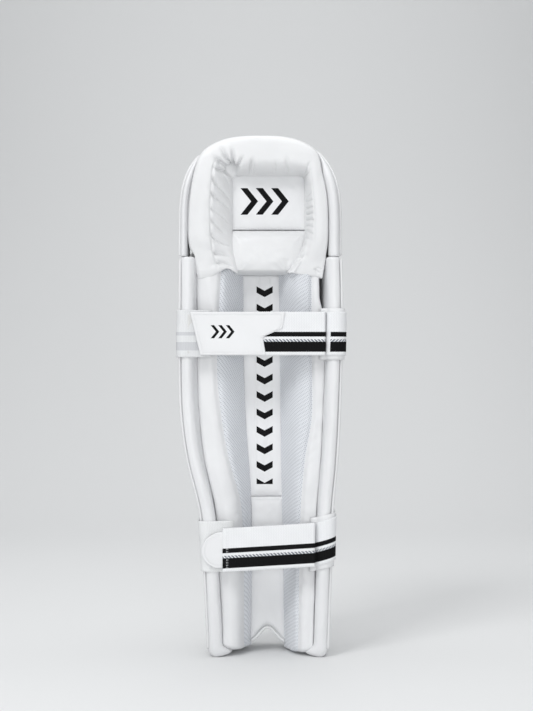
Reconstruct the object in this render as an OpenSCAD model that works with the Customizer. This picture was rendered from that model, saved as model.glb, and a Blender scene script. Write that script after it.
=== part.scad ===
// Wicket-keeping leg pad for the left leg, standing on its lower edge.
// +Z is up, the open side that takes the leg faces -Y, and +X is to the right seen from the open side.
// The origin is on the floor, at the centre of the pad's footprint.

/* [Overall] */
// Height from the floor to the top of the dome
pad_height = 600; // [560:5:640]
// Half width of the calf on the left, from the centre line to the piping
calf_left = 95; // [92:1:98]
// Half width of the calf on the right
calf_right = 93; // [91:1:96]
// Half width of the ankle on the left
ankle_left = 67; // [64:1:70]
// Half width of the ankle on the right
ankle_right = 81; // [78:1:84]

/* [Shell] */
// Thickness of the moulded foam board
board_thickness = 7; // [5:0.5:8]
// Height of each stuffed rib above the board
rib_height = 11; // [10:0.5:13]
// Number of vertical ribs over the shin
rib_count = 7; // [5:2:9]
// Radius of each cane rod
cane_radius = 3.2; // [2.5:0.1:3.4]
// Height of each knee roll above the board
roll_height = 12.5; // [10:0.5:14]
// Thickness of every sewn cover
skin = 1.2; // [1:0.1:1.5]

/* [Wings and bolsters] */
// Radius of the padded rear edge of a wing
wing_radius = 7.6; // [7:0.1:8]
// Radius of the piping along a wing
piping_radius = 1.6; // [1.2:0.1:1.8]
// Rise of a bolster's crown above the shin channel
bolster_rise = 36; // [30:1:38]
// Rise of the arch over the instep
arch_rise = 38; // [30:1:42]
// Height of the shin channel's lining above the floor at the crown of the instep arch
lining_rise = 29; // [24:1:34]
// Height of the lining above the floor beside the arch
lining_foot = 10; // [6:1:16]

/* [Straps] */
// Width of the elastic webbing
webbing_width = 49; // [45:1:50]
// Thickness of the elastic webbing
webbing_thickness = 1.6; // [1.2:0.1:1.8]
// Height of the middle of the upper strap
upper_strap_z = 372; // [360:1:380]
// Height of the middle of the lower strap at its hinge
lower_strap_z = 132; // [120:1:140]

/* [Hidden] */

PU_WHITE = "whitesmoke";
FOAM = "lemonchiffon";
GAP = 0.5;                              // clearance between neighbouring pieces
H = pad_height;
knee_z = 0.728 * H;                     // height of the knee flex line
wing_top = 0.765 * H;                   // where the lower wing ends
dome_z = 0.818 * H;                     // where the sides turn into the dome
SHELL_ROWS = 3;                         // stations up the straight-sided shell
ROWS = 12;                              // stations up the curved channel
seam_y = 8;                             // the wings are sewn to the shell on this line
board_depth = 30;                       // from the seam line to the board's front

// Profiles up the pad, each a list of [height, value]
left_edge = [[0, 4 - ankle_left], [0.15 * H, -ankle_left], [0.275 * H, -ankle_left - 5],
             [0.39 * H, 7 - calf_left], [0.5 * H, -calf_left], [dome_z, -calf_left]];
right_edge = [[0, ankle_right - 3], [0.15 * H, ankle_right], [0.275 * H, ankle_right + 2],
              [0.39 * H, calf_right - 4], [0.5 * H, calf_right - 1], [0.67 * H, calf_right + 1],
              [dome_z, calf_right - 1]];
wing_rear = [[0, -37], [0.1 * H, -43], [0.22 * H, -46], [0.42 * H, -48], [H, -48]];
channel_left = [[0, -12], [0.275 * H, -11], [0.46 * H, -18], [0.56 * H, -20], [knee_z, -21]];
channel_right = [[0, 26.5], [0.275 * H, 23.5], [0.46 * H, 21.5], [knee_z, 20]];
mesh_left = [[0, -20], [0.275 * H, -23], [0.38 * H, -38], [0.46 * H, -46], [0.56 * H, -51], [knee_z, -47]];
mesh_right = [[0, 42], [0.275 * H, 45], [0.38 * H, 50], [0.46 * H, 57.5], [0.56 * H, 57.5], [knee_z, 57]];
// Crown of a bolster from its outer side to the channel, as shares of its width and rise
crown = [[0, 0.8], [0.08, 0.95], [0.35, 1], [0.6, 0.84], [0.85, 0.36], [1, 0]];
channel_y = -2;                         // rear face of the lining in the shin channel

function piece(p, x, i = 0) = (i >= len(p) - 2 || x < p[i + 1][0]) ? i : piece(p, x, i + 1);
function slope(p, i) =
    let (a = max(i - 1, 0), b = min(i + 1, len(p) - 1)) (p[b][1] - p[a][1]) / (p[b][0] - p[a][0]);
// Smooth curve through the points of a profile
function at(p, x) =
    let (i = piece(p, x), h = p[i + 1][0] - p[i][0], t = min(1, max(0, (x - p[i][0]) / h)))
    (2 * t ^ 3 - 3 * t ^ 2 + 1) * p[i][1] + (t ^ 3 - 2 * t ^ 2 + t) * slope(p, i) * h
    + (3 * t ^ 2 - 2 * t ^ 3) * p[i + 1][1] + (t ^ 3 - t ^ 2) * slope(p, i + 1) * h;
function steps(n) = [for (i = [0 : n]) i / n];
function mix(a, b, t) = a + (b - a) * t;
function power(v, e) = sign(v) * abs(v) ^ e;

// Closed solid through rings of points, each ring running the same way round
module loft(rings) {
    n = len(rings[0]);
    last = (len(rings) - 1) * n;
    points = [for (ring = rings) for (p = ring) p];
    sides = [for (i = [0 : len(rings) - 2]) for (j = [0 : n - 1])
        let (a = i * n + j, b = i * n + (j + 1) % n)
        each [[a, b, b + n], [a, b + n, a + n]]];
    polyhedron(points, concat(sides, [[for (j = [n - 1 : -1 : 0]) j], [for (j = [0 : n - 1]) last + j]]));
}

// Thick-walled sock: closed at the first ring, open at the last
module sock(outer, inner) {
    n = len(outer[0]);
    rows = len(outer);
    half = rows * n;
    last = half - n;
    points = concat([for (ring = outer) for (p = ring) p], [for (ring = inner) for (p = ring) p]);
    sides = [for (i = [0 : rows - 2]) for (j = [0 : n - 1])
        let (a = i * n + j, b = i * n + (j + 1) % n, c = half + a, d = half + b)
        each [[a, b, b + n], [a, b + n, a + n], [c, d + n, d], [c, c + n, d + n]]];
    rim = [for (j = [0 : n - 1])
        let (a = last + j, b = last + (j + 1) % n)
        each [[a, b, half + b], [a, half + b, half + a]]];
    ends = [[for (j = [n - 1 : -1 : 0]) j], [for (j = [0 : n - 1]) half + j]];
    polyhedron(points, concat(sides, rim, ends));
}

// Closed sheet between two grids of points that have the same rows and columns
module sheet(front, back) {
    rows = len(front);
    cols = len(front[0]);
    half = rows * cols;
    points = concat([for (row = front) for (p = row) p], [for (row = back) for (p = row) p]);
    rim = concat([for (j = [0 : cols - 1]) j], [for (i = [1 : rows - 1]) i * cols + cols - 1],
                 [for (j = [cols - 2 : -1 : 0]) (rows - 1) * cols + j],
                 [for (i = [rows - 2 : -1 : 1]) i * cols]);
    faces = [for (i = [0 : rows - 2]) for (j = [0 : cols - 2])
        let (a = i * cols + j, b = a + 1, c = a + cols, d = c + 1)
        each [[a, b, d], [a, d, c], [half + a, half + d, half + b], [half + a, half + c, half + d]]];
    edges = [for (k = [0 : len(rim) - 1])
        let (a = rim[k], b = rim[(k + 1) % len(rim)])
        each [[a, half + a, half + b], [a, half + b, b]]];
    polyhedron(points, concat(faces, edges));
}

// ---- The shell over the shin ----
function seam_left(z) = -54 - 20 * z / knee_z;
function seam_right(z) = 68 + 8 * z / knee_z;
function shell_x(z) = (seam_left(z) + seam_right(z)) / 2;
function shell_half(z) = (seam_right(z) - seam_left(z)) / 2 - wing_radius - GAP;
// Point at an angle round the shell, h outside the board's outer face
function shell(z, angle, h) =
    [shell_x(z) + (shell_half(z) + h) * cos(angle), seam_y + (board_depth + h) * sin(angle), z];
function shell_radius(z, angle) =
    sqrt((shell_half(z) * sin(angle)) ^ 2 + (board_depth * cos(angle)) ^ 2);
// Depth of the board's inner face at x, drawn in by a margin at its ends
function inner_y(z, x, margin = 0) =
    let (w = shell_half(z) - board_thickness - 0.8 - margin, s = max(0, 1 - ((x - shell_x(z)) / w) ^ 2))
    seam_y + (board_depth - board_thickness - 0.8) * sqrt(s) - 0.4;
arch_x = 8;
function shell_bottom(x) = arch_rise * max(0, 1 - ((x - arch_x) / (x < arch_x ? 45 : 53)) ^ 2) ^ 1.5;
function lining_bottom(x) = mix(lining_foot, lining_rise, exp(-((x - arch_x + 1) / 14) ^ 2));
// Point of the shell whose lowest row follows the arch
function shell_point(t, angle, h, top, lift = 0) =
    let (x = shell(0, angle, h)[0]) shell(mix(shell_bottom(x) + lift, top, t), angle, h);
function rib_angle(i) = 90 - 82 * power(2 * i / rib_count - 1, 1.12);
function rib_middle(i) = (rib_angle(i) + rib_angle(i + 1)) / 2;
function rib_spread(i) = (rib_angle(i) - rib_angle(i + 1)) / 2;
rib_steps = [-1, -0.92, -0.7, -0.35, 0, 0.35, 0.7, 0.92];
valley = 0.4;                           // how far the stitched valleys stand off the board

module shin_cover() {
    columns = concat([for (i = [0 : rib_count - 1]) for (v = rib_steps)
        [rib_middle(i) - v * rib_spread(i), valley + (rib_height - valley) * sqrt(1 - v ^ 2)]],
        [[rib_angle(rib_count), valley]]);
    top = knee_z - 3;
    color(PU_WHITE) sheet(
        [for (t = steps(SHELL_ROWS)) [for (c = columns) shell_point(t, c[0], c[1] + skin, top)]],
        [for (t = steps(SHELL_ROWS)) [for (c = columns) shell_point(t, c[0], c[1] - 0.2, top)]]);
}

// Lowest height at which the whole width of a rib is above the arch
function rib_low(i) = 2 + max([for (v = [-1, 0, 1])
    shell_bottom(shell(0, rib_middle(i) + v * rib_spread(i), 0)[0])]);
// Level ring round a rib, from [offset along the shell, height over the board] pairs
function rib_ring(i, z, pairs) =
    [for (p = pairs)
        let (m = rib_middle(i)) shell(z, m - p[0] / shell_radius(0.35 * H, m) * 180 / PI, p[1])];
cane_seat = cane_radius + 0.7;          // half width of the groove that holds a cane

module shin_wadding() {
    color(FOAM) for (i = [0 : rib_count - 1]) {
        half = rib_spread(i) * PI / 180 * shell_radius(0.35 * H, rib_middle(i)) * 0.82;
        rise = rib_height - 1.8;
        outer = [for (v = [-1, -0.75, -0.35, 0, 0.35, 0.75, 1])
            [v * half, max(0.4, rise * sqrt(1 - (v * 0.93) ^ 2))]];
        groove = [[cane_seat, 0.3], [cane_seat, cane_radius + 1], [0.6 * cane_seat, 2 * cane_radius + 0.3],
                  [-0.6 * cane_seat, 2 * cane_radius + 0.3], [-cane_seat, cane_radius + 1],
                  [-cane_seat, 0.3]];
        loft([for (t = steps(SHELL_ROWS))
            rib_ring(i, mix(rib_low(i), knee_z - 4, t), concat(outer, groove))]);
    }
}

// Round rods, straight from just above the floor edge to just below the knee
module shin_canes() {
    r = cane_radius - 0.3;
    color("burlywood") for (i = [0 : rib_count - 1]) {
        m = rib_middle(i);
        low = shell(rib_low(i) + 9, m, r + 0.4);
        v = shell(knee_z - 10, m, r + 0.4) - low;
        translate(low)
            rotate([0, acos(v[2] / norm(v)), atan2(v[1], v[0])])
                cylinder(r = r, h = norm(v), $fn = 24);
    }
}

module shin_board() {
    angles = [for (t = steps(28)) 180 - 180 * t];
    top = knee_z - 2;
    color(FOAM) sheet(
        [for (t = steps(SHELL_ROWS)) [for (a = angles) shell_point(t, a, 0, top, 1)]],
        [for (t = steps(SHELL_ROWS)) [for (a = angles) let (x = shell(0, a, 0)[0])
            shell(mix(shell_bottom(x) + 1, top, t), a, -board_thickness)]]);
}

// ---- Shin channel ----
function channel_point(t, u, y, top, bottom_rise = 0) =
    let (x0 = mix(at(channel_left, 0), at(channel_right, 0), u),
         z = mix(lining_bottom(x0) + bottom_rise, top, t),
         x = mix(at(channel_left, z) + GAP, at(channel_right, z) - GAP, u))
    [x, y + 10 * u * (1 - u), z];
patch_z = 0.303 * H;                    // seam between the two lining panels

module lining_panel(z0, z1) {
    columns = steps(6);
    function panel(y) = [for (t = steps(8)) [for (u = columns)
        let (p = channel_point(0, u, y, z1), low = z0 == 0 ? p[2] : z0, z = mix(low, z1, t),
             x = mix(at(channel_left, z) + GAP, at(channel_right, z) - GAP, u))
        [x, p[1], z]]];
    color(PU_WHITE) sheet(panel(channel_y), panel(channel_y + skin));
}
module centre_patch() lining_panel(0, patch_z);
module centre_lining() lining_panel(patch_z + 0.3, knee_z - 2);

module centre_pad() {
    columns = steps(6);
    color(FOAM) sheet(
        [for (t = steps(ROWS)) [for (u = columns)
            channel_point(t, mix(0.01, 0.99, u), channel_y + skin + 0.2, knee_z - 2, 0.5)]],
        [for (t = steps(ROWS)) [for (u = columns)
            let (p = channel_point(t, mix(0.01, 0.99, u), channel_y, knee_z - 2, 0.5))
            [p[0], inner_y(p[2], p[0]), p[2]]]]);
}

// ---- Bolsters either side of the channel ----
// side is -1 for left and 1 for right; u runs from the wing to the channel
function wing_inner(side, z, y) =
    let (edge = at(side < 0 ? left_edge : right_edge, z), seam = side < 0 ? seam_left(z) : seam_right(z),
         rear = at(wing_rear, z) + wing_radius,
         outer = edge - side * (2 * wing_radius + 2.7), front = seam - side * wing_radius,
         s = min(1, max(0, (y - rear) / (seam_y - rear))))
    mix(outer, front, s) - side * GAP;
knee_relief = 6;            // how far the right bolster draws away from its wing below the knee
function bolster_x(side, z, u, y) =
    let (draw = side > 0 ? knee_relief * max(0, (z - 0.6 * H) / (knee_z - 0.6 * H)) : 0,
         outer = wing_inner(side, z, min(y, seam_y)) - side * (1.6 + draw),
         inner = at(side < 0 ? channel_left : channel_right, z))
    mix(outer, inner, u);
function bolster_y(u) = 2 - bolster_rise * at(crown, u);
function bolster_bottom(side, u) = (side < 0 ? 12 : 7) + 26 * abs(u - 0.45) ^ 2.4;
function bolster_top() = knee_z - 2;
function bolster_rear(side, t, u, depth) =
    let (z = mix(bolster_bottom(side, u), bolster_top(), t), y = bolster_y(u) + depth)
    [bolster_x(side, z, u, y), y, z];
function bolster_front(side, t, u) =
    let (z = bolster_rear(side, t, u, 0)[2], x = bolster_x(side, z, u, seam_y))
    [x, inner_y(z, x, 6), z];
// Where the mesh panel starts, as a share of the bolster's width
function mesh_share(side, z) =
    let (a = bolster_x(side, z, 0, -20),
         b = bolster_x(side, z, 1, 0),
         m = at(side < 0 ? mesh_left : mesh_right, z))
    (m - a) / (b - a);
BOLSTER_ROWS = 16;

module bolster_panel(side, from_mesh) {
    function grid(depth) = [for (t = steps(BOLSTER_ROWS)) let (m = mesh_share(side, t * bolster_top()))
        [for (v = steps(from_mesh ? 7 : 8))
            let (u = from_mesh ? mix(m + 0.004, 1, v) : mix(0, m - 0.004, v))
                bolster_rear(side, t, u, depth)]];
    if (side < 0) sheet(grid(0), grid(skin)); else sheet(grid(skin), grid(0));
}
module bolster_core(side) {
    across = steps(12);
    rear = [for (t = steps(BOLSTER_ROWS)) [for (u = across) bolster_rear(side, t, u, skin + 1)]];
    front = [for (t = steps(BOLSTER_ROWS)) [for (u = across) bolster_front(side, t, u)]];
    color(FOAM) if (side < 0) sheet(rear, front); else sheet(front, rear);
}
module bolster_left_cover() color(PU_WHITE) bolster_panel(-1, false);
module bolster_left_mesh() color("lavender") bolster_panel(-1, true);
module bolster_left_core() bolster_core(-1);
module bolster_right_cover() color(PU_WHITE) bolster_panel(1, false);
module bolster_right_mesh() color("lavender") bolster_panel(1, true);
module bolster_right_core() bolster_core(1);

// Tube of radius r along a path, in a frame whose rings stay square to the path
function unit(v) = v / norm(v);
function tube_ring(path, i, r, sides) =
    let (d = unit(path[min(i + 1, len(path) - 1)] - path[max(i - 1, 0)]),
         a = unit(cross(d, [0, 1, 0.01])), b = cross(d, a))
    [for (k = [0 : sides - 1]) path[i] + r * (a * cos(k * 360 / sides) + b * sin(k * 360 / sides))];
module tube(path, r, sides = 8) {
    loft([for (i = [0 : len(path) - 1]) tube_ring(path, i, r, sides)]);
}

module instep_piping() {
    color(PU_WHITE) tube([for (u = steps(14))
        let (p = channel_point(0, mix(0.06, 0.94, u), channel_y - 0.2, knee_z))
        [p[0], p[1] + 0.5, p[2] - 2 * piping_radius]], piping_radius);
}

// ---- Wings ----
// Cross-section of a wing as an open arc from its outer front, round the rear edge, to its inner front
function roll_centre(side, z) =
    [at(side < 0 ? left_edge : right_edge, z) - side * (wing_radius + 2.7), at(wing_rear, z) + wing_radius];
function wing_arc(side, z, inset, squeeze = 1) =
    let (c = roll_centre(side, z), seam = side < 0 ? seam_left(z) : seam_right(z),
         rear = (wing_radius - inset) * squeeze, front = (wing_radius - 0.2 - inset) * squeeze)
    concat([for (a = [20, 0]) [seam + side * front * cos(a), seam_y + front * sin(a), z]],
           [for (a = [0 : 22.5 : 180]) [c[0] + side * rear * cos(a), c[1] - rear * sin(a), z]],
           [for (a = [0, 20]) [seam - side * front * cos(a), seam_y + front * sin(a), z]]);
WING_ROWS = 18;
function wing_levels(low = 0, high = 0) =
    concat([low, 3], [for (t = steps(WING_ROWS)) mix(9, wing_top - 5, t)], [wing_top - high]);
function end_squeeze(z) = z < 2 ? 0.72 : z < 4 ? 0.9 : z > wing_top - 2 ? 0.8 : 1;
function turned(rings, side) = side < 0 ? rings : [for (r = rings) [for (k = [len(r) - 1 : -1 : 0]) r[k]]];

module wing_cover(side) {
    color(PU_WHITE) sock(
        turned([for (z = wing_levels()) wing_arc(side, z, 0, end_squeeze(z))], side),
        turned([for (z = wing_levels(skin)) wing_arc(side, z, skin, end_squeeze(z))], side));
}
module wing_core(side) {
    color(FOAM) loft(turned([for (z = wing_levels(skin + 0.2, 0.5))
        wing_arc(side, z, skin + 0.15, end_squeeze(z))], side));
}
// Piping runs along the outer rear corner of the wing
function piping_point(side, z) =
    let (c = roll_centre(side, z), r = wing_radius + piping_radius + 0.15)
    [c[0] + side * r * cos(18), c[1] - r * sin(18), z];
module wing_piping(side) {
    color(PU_WHITE) tube([for (t = steps(20)) piping_point(side, mix(9, wing_top - 3, t))], piping_radius);
}
module wing_left_cover() wing_cover(-1);
module wing_left_core() wing_core(-1);
module wing_left_piping() wing_piping(-1);
module wing_right_cover() wing_cover(1);
module wing_right_core() wing_core(1);
module wing_right_piping() wing_piping(1);

// ---- Bands and strap ends that wrap a wing's rear edge ----
// Point wrapped round the wing at angle a: 0 is straight out, 90 to the rear, 180 inward
function wrap(side, z, a, lift) =
    let (c = roll_centre(side, z), r = wing_radius + 2 * piping_radius * max(0, cos(min(a, 90))) + lift)
    [c[0] + side * r * cos(a), c[1] - r * sin(a), z];
wrap_start = 22;            // how far forward of the roll a band runs along the wing's outer face
function wrap_front(side, z, lift) =
    let (p = wrap(side, z, 0, lift)) [p[0], p[1] + wrap_start, z];
function wrap_path(side, z, stop, lift) =
    concat([wrap_front(side, z, lift)], [for (t = steps(8)) wrap(side, z, stop * t, lift)]);

module wrapped(side, z0, z1, stop, low, high) {
    sheet(turned([for (t = steps(3)) wrap_path(side, mix(z0, z1, t), stop, high)], side),
          turned([for (t = steps(3)) wrap_path(side, mix(z0, z1, t), stop, low)], side));
}
module strap_anchor(z) {
    color("dimgray")
        wrapped(1, z - webbing_width / 2, z + webbing_width / 2, 128, 1.9, 1.9 + webbing_thickness);
}
module keeper(z, height) {
    color("white") wrapped(1, z - height / 2, z + height / 2, 150, 0.4, 1.6);
}
// The band on the left wing also lies over the bolster, falling away from the strap
landing_reach = 30;
function landing_path(z, lift) =
    let (start = wrap(-1, z, 90, lift), end = [start[0] + landing_reach, start[1] + 6, z])
    concat(wrap_path(-1, z, 90, lift), [for (t = [0.3, 0.65, 1]) mix(start, end, t)]);
module landing_band(z, height) {
    color("white") sheet(
        [for (t = steps(3)) landing_path(z + (t - 0.5) * height, 1.6)],
        [for (t = steps(3)) landing_path(z + (t - 0.5) * height, 0.4)]);
}
module loop_patch(z, height) {
    function strip(lift) = [for (t = steps(3)) let (zz = z + (t - 0.5) * height, p = wrap(-1, zz, 90, lift))
        [for (s = [0.05, 0.4, 0.7, 0.95]) [p[0] + landing_reach * s, p[1] + 6 * s, zz]]];
    color("gainsboro") sheet(strip(2.4), strip(1.7));
}
upper_band = 54;
lower_band = 58;
lower_left_z = lower_strap_z - 7;
module upper_landing_band() landing_band(upper_strap_z, upper_band);
module upper_loop_patch() loop_patch(upper_strap_z, 44);
module lower_landing_band() landing_band(lower_left_z + 4, lower_band);
module lower_loop_patch() loop_patch(lower_left_z + 1, 42);
module upper_keeper() keeper(upper_strap_z, upper_band + 4);
module upper_strap_anchor() strap_anchor(upper_strap_z);
module lower_keeper() keeper(lower_strap_z, lower_band + 4);
module lower_strap_anchor() strap_anchor(lower_strap_z);

// ---- Straps ----
// Hinge line of a strap, where the webbing leaves the right wing
function hinge_x(z) = roll_centre(1, z)[0] - 7.6;
function upper_y() = at(wing_rear, upper_strap_z) - 2.6;
function lower_y() = at(wing_rear, lower_strap_z) - 4.4;

// Flat panel: left and right are functions' values listed from its bottom edge to its top edge
module panel(left, right, z, height, y0, y1, fall = 0) {
    rows = len(left) - 1;
    function grid(y) = [for (k = [0 : rows]) [for (u = steps(4))
        let (x = mix(left[k], right[k], u)) [x, y, z + (k / rows - 0.5) * height - fall * (hinge_x(z) - x)]]];
    sheet(grid(y0), grid(y1));
}
webbing_outer = webbing_thickness;
function all_equal(v, n = 4) = [for (i = [1 : n]) v];

module upper_strap_webbing() {
    color("dimgray")
        panel(all_equal(-14), all_equal(hinge_x(upper_strap_z) - 0.4), upper_strap_z, webbing_width,
        upper_y() - webbing_thickness, upper_y());
}
module upper_strap_tab() {
    color(PU_WHITE) panel([-68.5, -71, -74, -77, -80.5], [5, 2, 3, 20, 25], upper_strap_z, webbing_width - 2,
        upper_y() - webbing_thickness - 2, upper_y() - webbing_thickness - 0.2);
}
module upper_hook_patch() {
    color("gainsboro") panel([-65, -68, -72, -76], all_equal(-16), upper_strap_z, webbing_width - 10,
        upper_y() - webbing_thickness, upper_y() - 0.5);
}
lower_fall = 0.06;                      // the lower strap drops this much for each millimetre across
module lower_strap_webbing() {
    color("dimgray")
        panel(all_equal(-44.3), all_equal(hinge_x(lower_strap_z) - 0.4), lower_strap_z, webbing_width,
        lower_y() - 2 - webbing_thickness, lower_y() - 2, lower_fall);
}
module lower_strap_tab() {
    ends = [for (v = [-1 : 0.25 : 1]) -68 + 24 * (1 - sqrt(1 - (0.97 * v) ^ 2))];
    color(PU_WHITE) panel(ends, [for (v = ends) 5], lower_strap_z, webbing_width - 3,
        lower_y() - 1.8, lower_y() - 0.4, lower_fall);
}
module lower_hook_patch() {
    color("gainsboro")
        panel([-50, -58, -61, -58, -50], [for (v = steps(4)) -5], lower_strap_z, webbing_width - 12,
        lower_y() - 0.2, lower_y() + 0.8, lower_fall);
}

// ---- Knee section ----
knee_half = 77;                         // half width of the knee board at the seam line
knee_depth = 34;
knee_x = -1.5;
dome_power = 2.85;
knee_edge = 8;                          // the knee board stops this many degrees short of the seam line
function knee_point(z, angle, h) =
    [knee_x + (knee_half + h) * cos(angle), seam_y + (knee_depth + h) * sin(angle), z];
function knee_inner_y(x) =
    let (s = max(0, 1 - ((x - knee_x) / (knee_half - board_thickness - 6)) ^ 2))
    seam_y + (knee_depth - board_thickness - 0.8) * sqrt(s) - 0.4;
// Half width of the dome of reach [half, rise] at height z
function dome_half(z, half, rise) =
    z <= dome_z ? half : half * max(0, 1 - ((z - dome_z) / rise) ^ dome_power) ^ (1 / dome_power);
function knee_levels(z0, z1, n) = [for (t = steps(n)) mix(z0, z1, sin(90 * t))];
// Angles that keep a front sheet inside the dome
function front_angles(z, half, rise, n) =
    let (edge = max(knee_edge, acos(min(1, dome_half(z, half, rise) / half))))
    [for (t = steps(n)) mix(180 - edge, edge, t)];

module knee_front(z0, z1, inner, outer, inset, n = 18) {
    rows = knee_levels(z0, z1, 10);
    half = knee_half - inset;
    rise = H - dome_z - 3 - inset;
    color(inner < 0 ? FOAM : PU_WHITE) sheet(
        [for (z = rows) [for (a = front_angles(z, half, rise, n)) knee_point(z, a, outer)]],
        [for (z = rows) [for (a = front_angles(z, half, rise, n)) knee_point(z, a, inner)]]);
}
module knee_board() knee_front(knee_z + 1, H - 8, -board_thickness, 0, 0);
roll_pitch = 0.0535 * H;
roll_first = knee_z + 2;
rolls_top = roll_first + 3 * roll_pitch;
module top_pad() knee_front(rolls_top + 1.5, H - 9, 0.3, 6, 3);
module top_cover() knee_front(rolls_top + 1, H - 8.5, 6.2, 6.2 + skin, 2);

// Bulge of a knee roll: pairs of [height over the board, offset up]
function roll_section(h, half) = [for (a = [0 : 22.5 : 180]) [max(0.3, h * sin(a)), -half * cos(a)]];
function roll_ring(i, angle, h, half) =
    [for (p = roll_section(h, half))
        let (q = knee_point(roll_first + (i + 0.5) * roll_pitch, angle, p[0])) [q[0], q[1], q[2] + p[1]]];
roll_angles = [for (t = steps(16)) mix(180 - knee_edge, knee_edge, t)];
module knee_roll(i) {
    half = roll_pitch / 2 - 0.4;
    color(PU_WHITE) sheet(
        [for (a = roll_angles) roll_ring(i, a, roll_height, half)],
        [for (a = roll_angles) roll_ring(i, a, roll_height - skin, half - skin)]);
}
module knee_roll_low() knee_roll(0);
module knee_roll_middle() knee_roll(1);
module knee_roll_high() knee_roll(2);
module knee_roll_cores() {
    half = roll_pitch / 2 - 0.5 - skin;
    color(FOAM) for (i = [0 : 2])
        loft([for (a = roll_angles) roll_ring(i, a, roll_height - skin - 0.2, half)]);
}

// Horseshoe: outer and inner curves from the left foot, over the top, to the right foot
LEG = 5;
ARC = 16;
horseshoe_low = knee_z + 3;
cup_x = 8;                  // middle, half width and height of the cup inside the horseshoe
cup_half = 42;
cup_rise = 0.108 * H;
function horse_curve(k, centre, half, rise, feet, n) =
    k < LEG ? let (t = k / LEG) [mix(feet[0], centre - half, sin(90 * t)), mix(horseshoe_low, dome_z, t)]
    : k > LEG + ARC
    ? let (t = (2 * LEG + ARC - k) / LEG)
        [mix(feet[1], centre + half, sin(90 * t)), mix(horseshoe_low, dome_z, t)]
    : let (a = 180 - 180 * (k - LEG) / ARC)
        [centre + half * power(cos(a), 2 / n), dome_z + rise * power(sin(a), 2 / n)];
// Below the top of the lower wings the horseshoe's feet keep clear of them
function between_wings(x, y, z) = z > wing_top + 2 ? x
    : max(wing_inner(-1, wing_top, min(y, seam_y)) + 2.4,
          min(wing_inner(1, wing_top, min(y, seam_y)) - 2.4, x));
function horse_outer(k) =
    let (p = horse_curve(k, -4, 79.5, H - dome_z, [-74, 71], dome_power))
    [between_wings(p[0], -20, p[1]), p[1]];
function horse_inner(k) = horse_curve(k, cup_x, cup_half, cup_rise, [-26, 30], 6);
horse_rise = 26;
function horse_rear(k, u, depth) =
    let (p = mix(horse_outer(k), horse_inner(k), u), bulge = (1 - abs(2 * u - 1) ^ 2.4) ^ 0.55)
    [p[0], -20 - horse_rise * bulge + depth, p[1]];
function horse_front(k, u) =
    let (p = mix(horse_outer(k), horse_inner(k), u), x = between_wings(p[0], seam_y, p[1]))
    [x, min(knee_inner_y(x), seam_y + 22), p[1]];
horse_across = [0, 0.08, 0.22, 0.4, 0.6, 0.78, 0.92, 1];
module horseshoe_cover() {
    color(PU_WHITE) sheet(
        [for (k = [0 : 2 * LEG + ARC]) [for (u = horse_across) horse_rear(k, u, 0)]],
        [for (k = [0 : 2 * LEG + ARC]) [for (u = horse_across) horse_rear(k, u, skin)]]);
}
module horseshoe_core() {
    color(FOAM) loft([for (k = [0 : 2 * LEG + ARC]) concat(
        [for (u = horse_across) horse_rear(k, u, skin + 0.2)],
        [for (j = [4 : -1 : 0]) horse_front(k, j / 4)])]);
}

// Panels inside the horseshoe, between x limits that follow its inner curve
patch_low = dome_z + 2.5;
function inside_left(z) =
    z < dome_z ? mix(-26, cup_x - cup_half, sin(90 * (z - horseshoe_low) / (dome_z - horseshoe_low)))
    : cup_x - cup_half * max(0, 1 - ((z - dome_z) / cup_rise) ^ 6) ^ (1 / 6);
function inside_right(z) =
    z < dome_z ? mix(30, cup_x + cup_half, sin(90 * (z - horseshoe_low) / (dome_z - horseshoe_low)))
    : cup_x + cup_half * max(0, 1 - ((z - dome_z) / cup_rise) ^ 6) ^ (1 / 6);
function inside_grid(z0, z1, y, rise, depth) = [for (t = steps(8)) [for (u = steps(8))
    let (z = mix(z0, z1, t), x = mix(inside_left(z) + GAP, inside_right(z) - GAP, u))
    [x, y - rise * ((1 - abs(2 * u - 1) ^ 3) * (1 - abs(2 * t - 1) ^ 3)) ^ 0.7 + depth, z]]];
function inside_back(z0, z1) = [for (t = steps(8)) [for (u = steps(8))
    let (z = mix(z0, z1, t),
         x = mix(inside_left(z) + GAP, inside_right(z) - GAP, u))
        [x, min(knee_inner_y(x), seam_y + 22), z]]];
patch_top = dome_z + 0.102 * H;
module knee_patch_panel() color(PU_WHITE) sheet(
    inside_grid(patch_low + 0.3, patch_top, -17, 5, 0),
    inside_grid(patch_low + 0.3, patch_top, -17, 5, skin));
module knee_patch_foam() color(FOAM) sheet(
    inside_grid(patch_low + 0.3, patch_top, -17, 5, skin + 0.2),
    inside_back(patch_low + 0.3, patch_top));
module lower_knee_pad_cover() color(PU_WHITE) sheet(
    inside_grid(horseshoe_low, patch_low, -17, 17, 0),
    inside_grid(horseshoe_low, patch_low, -17, 17, skin));
module lower_knee_pad_core() color(FOAM) sheet(
    inside_grid(horseshoe_low, patch_low, -17, 17, skin + 0.2), inside_back(horseshoe_low, patch_low));

// Upper wings: they follow the dome outside the horseshoe
UPPER_ROWS = 11;
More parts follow.
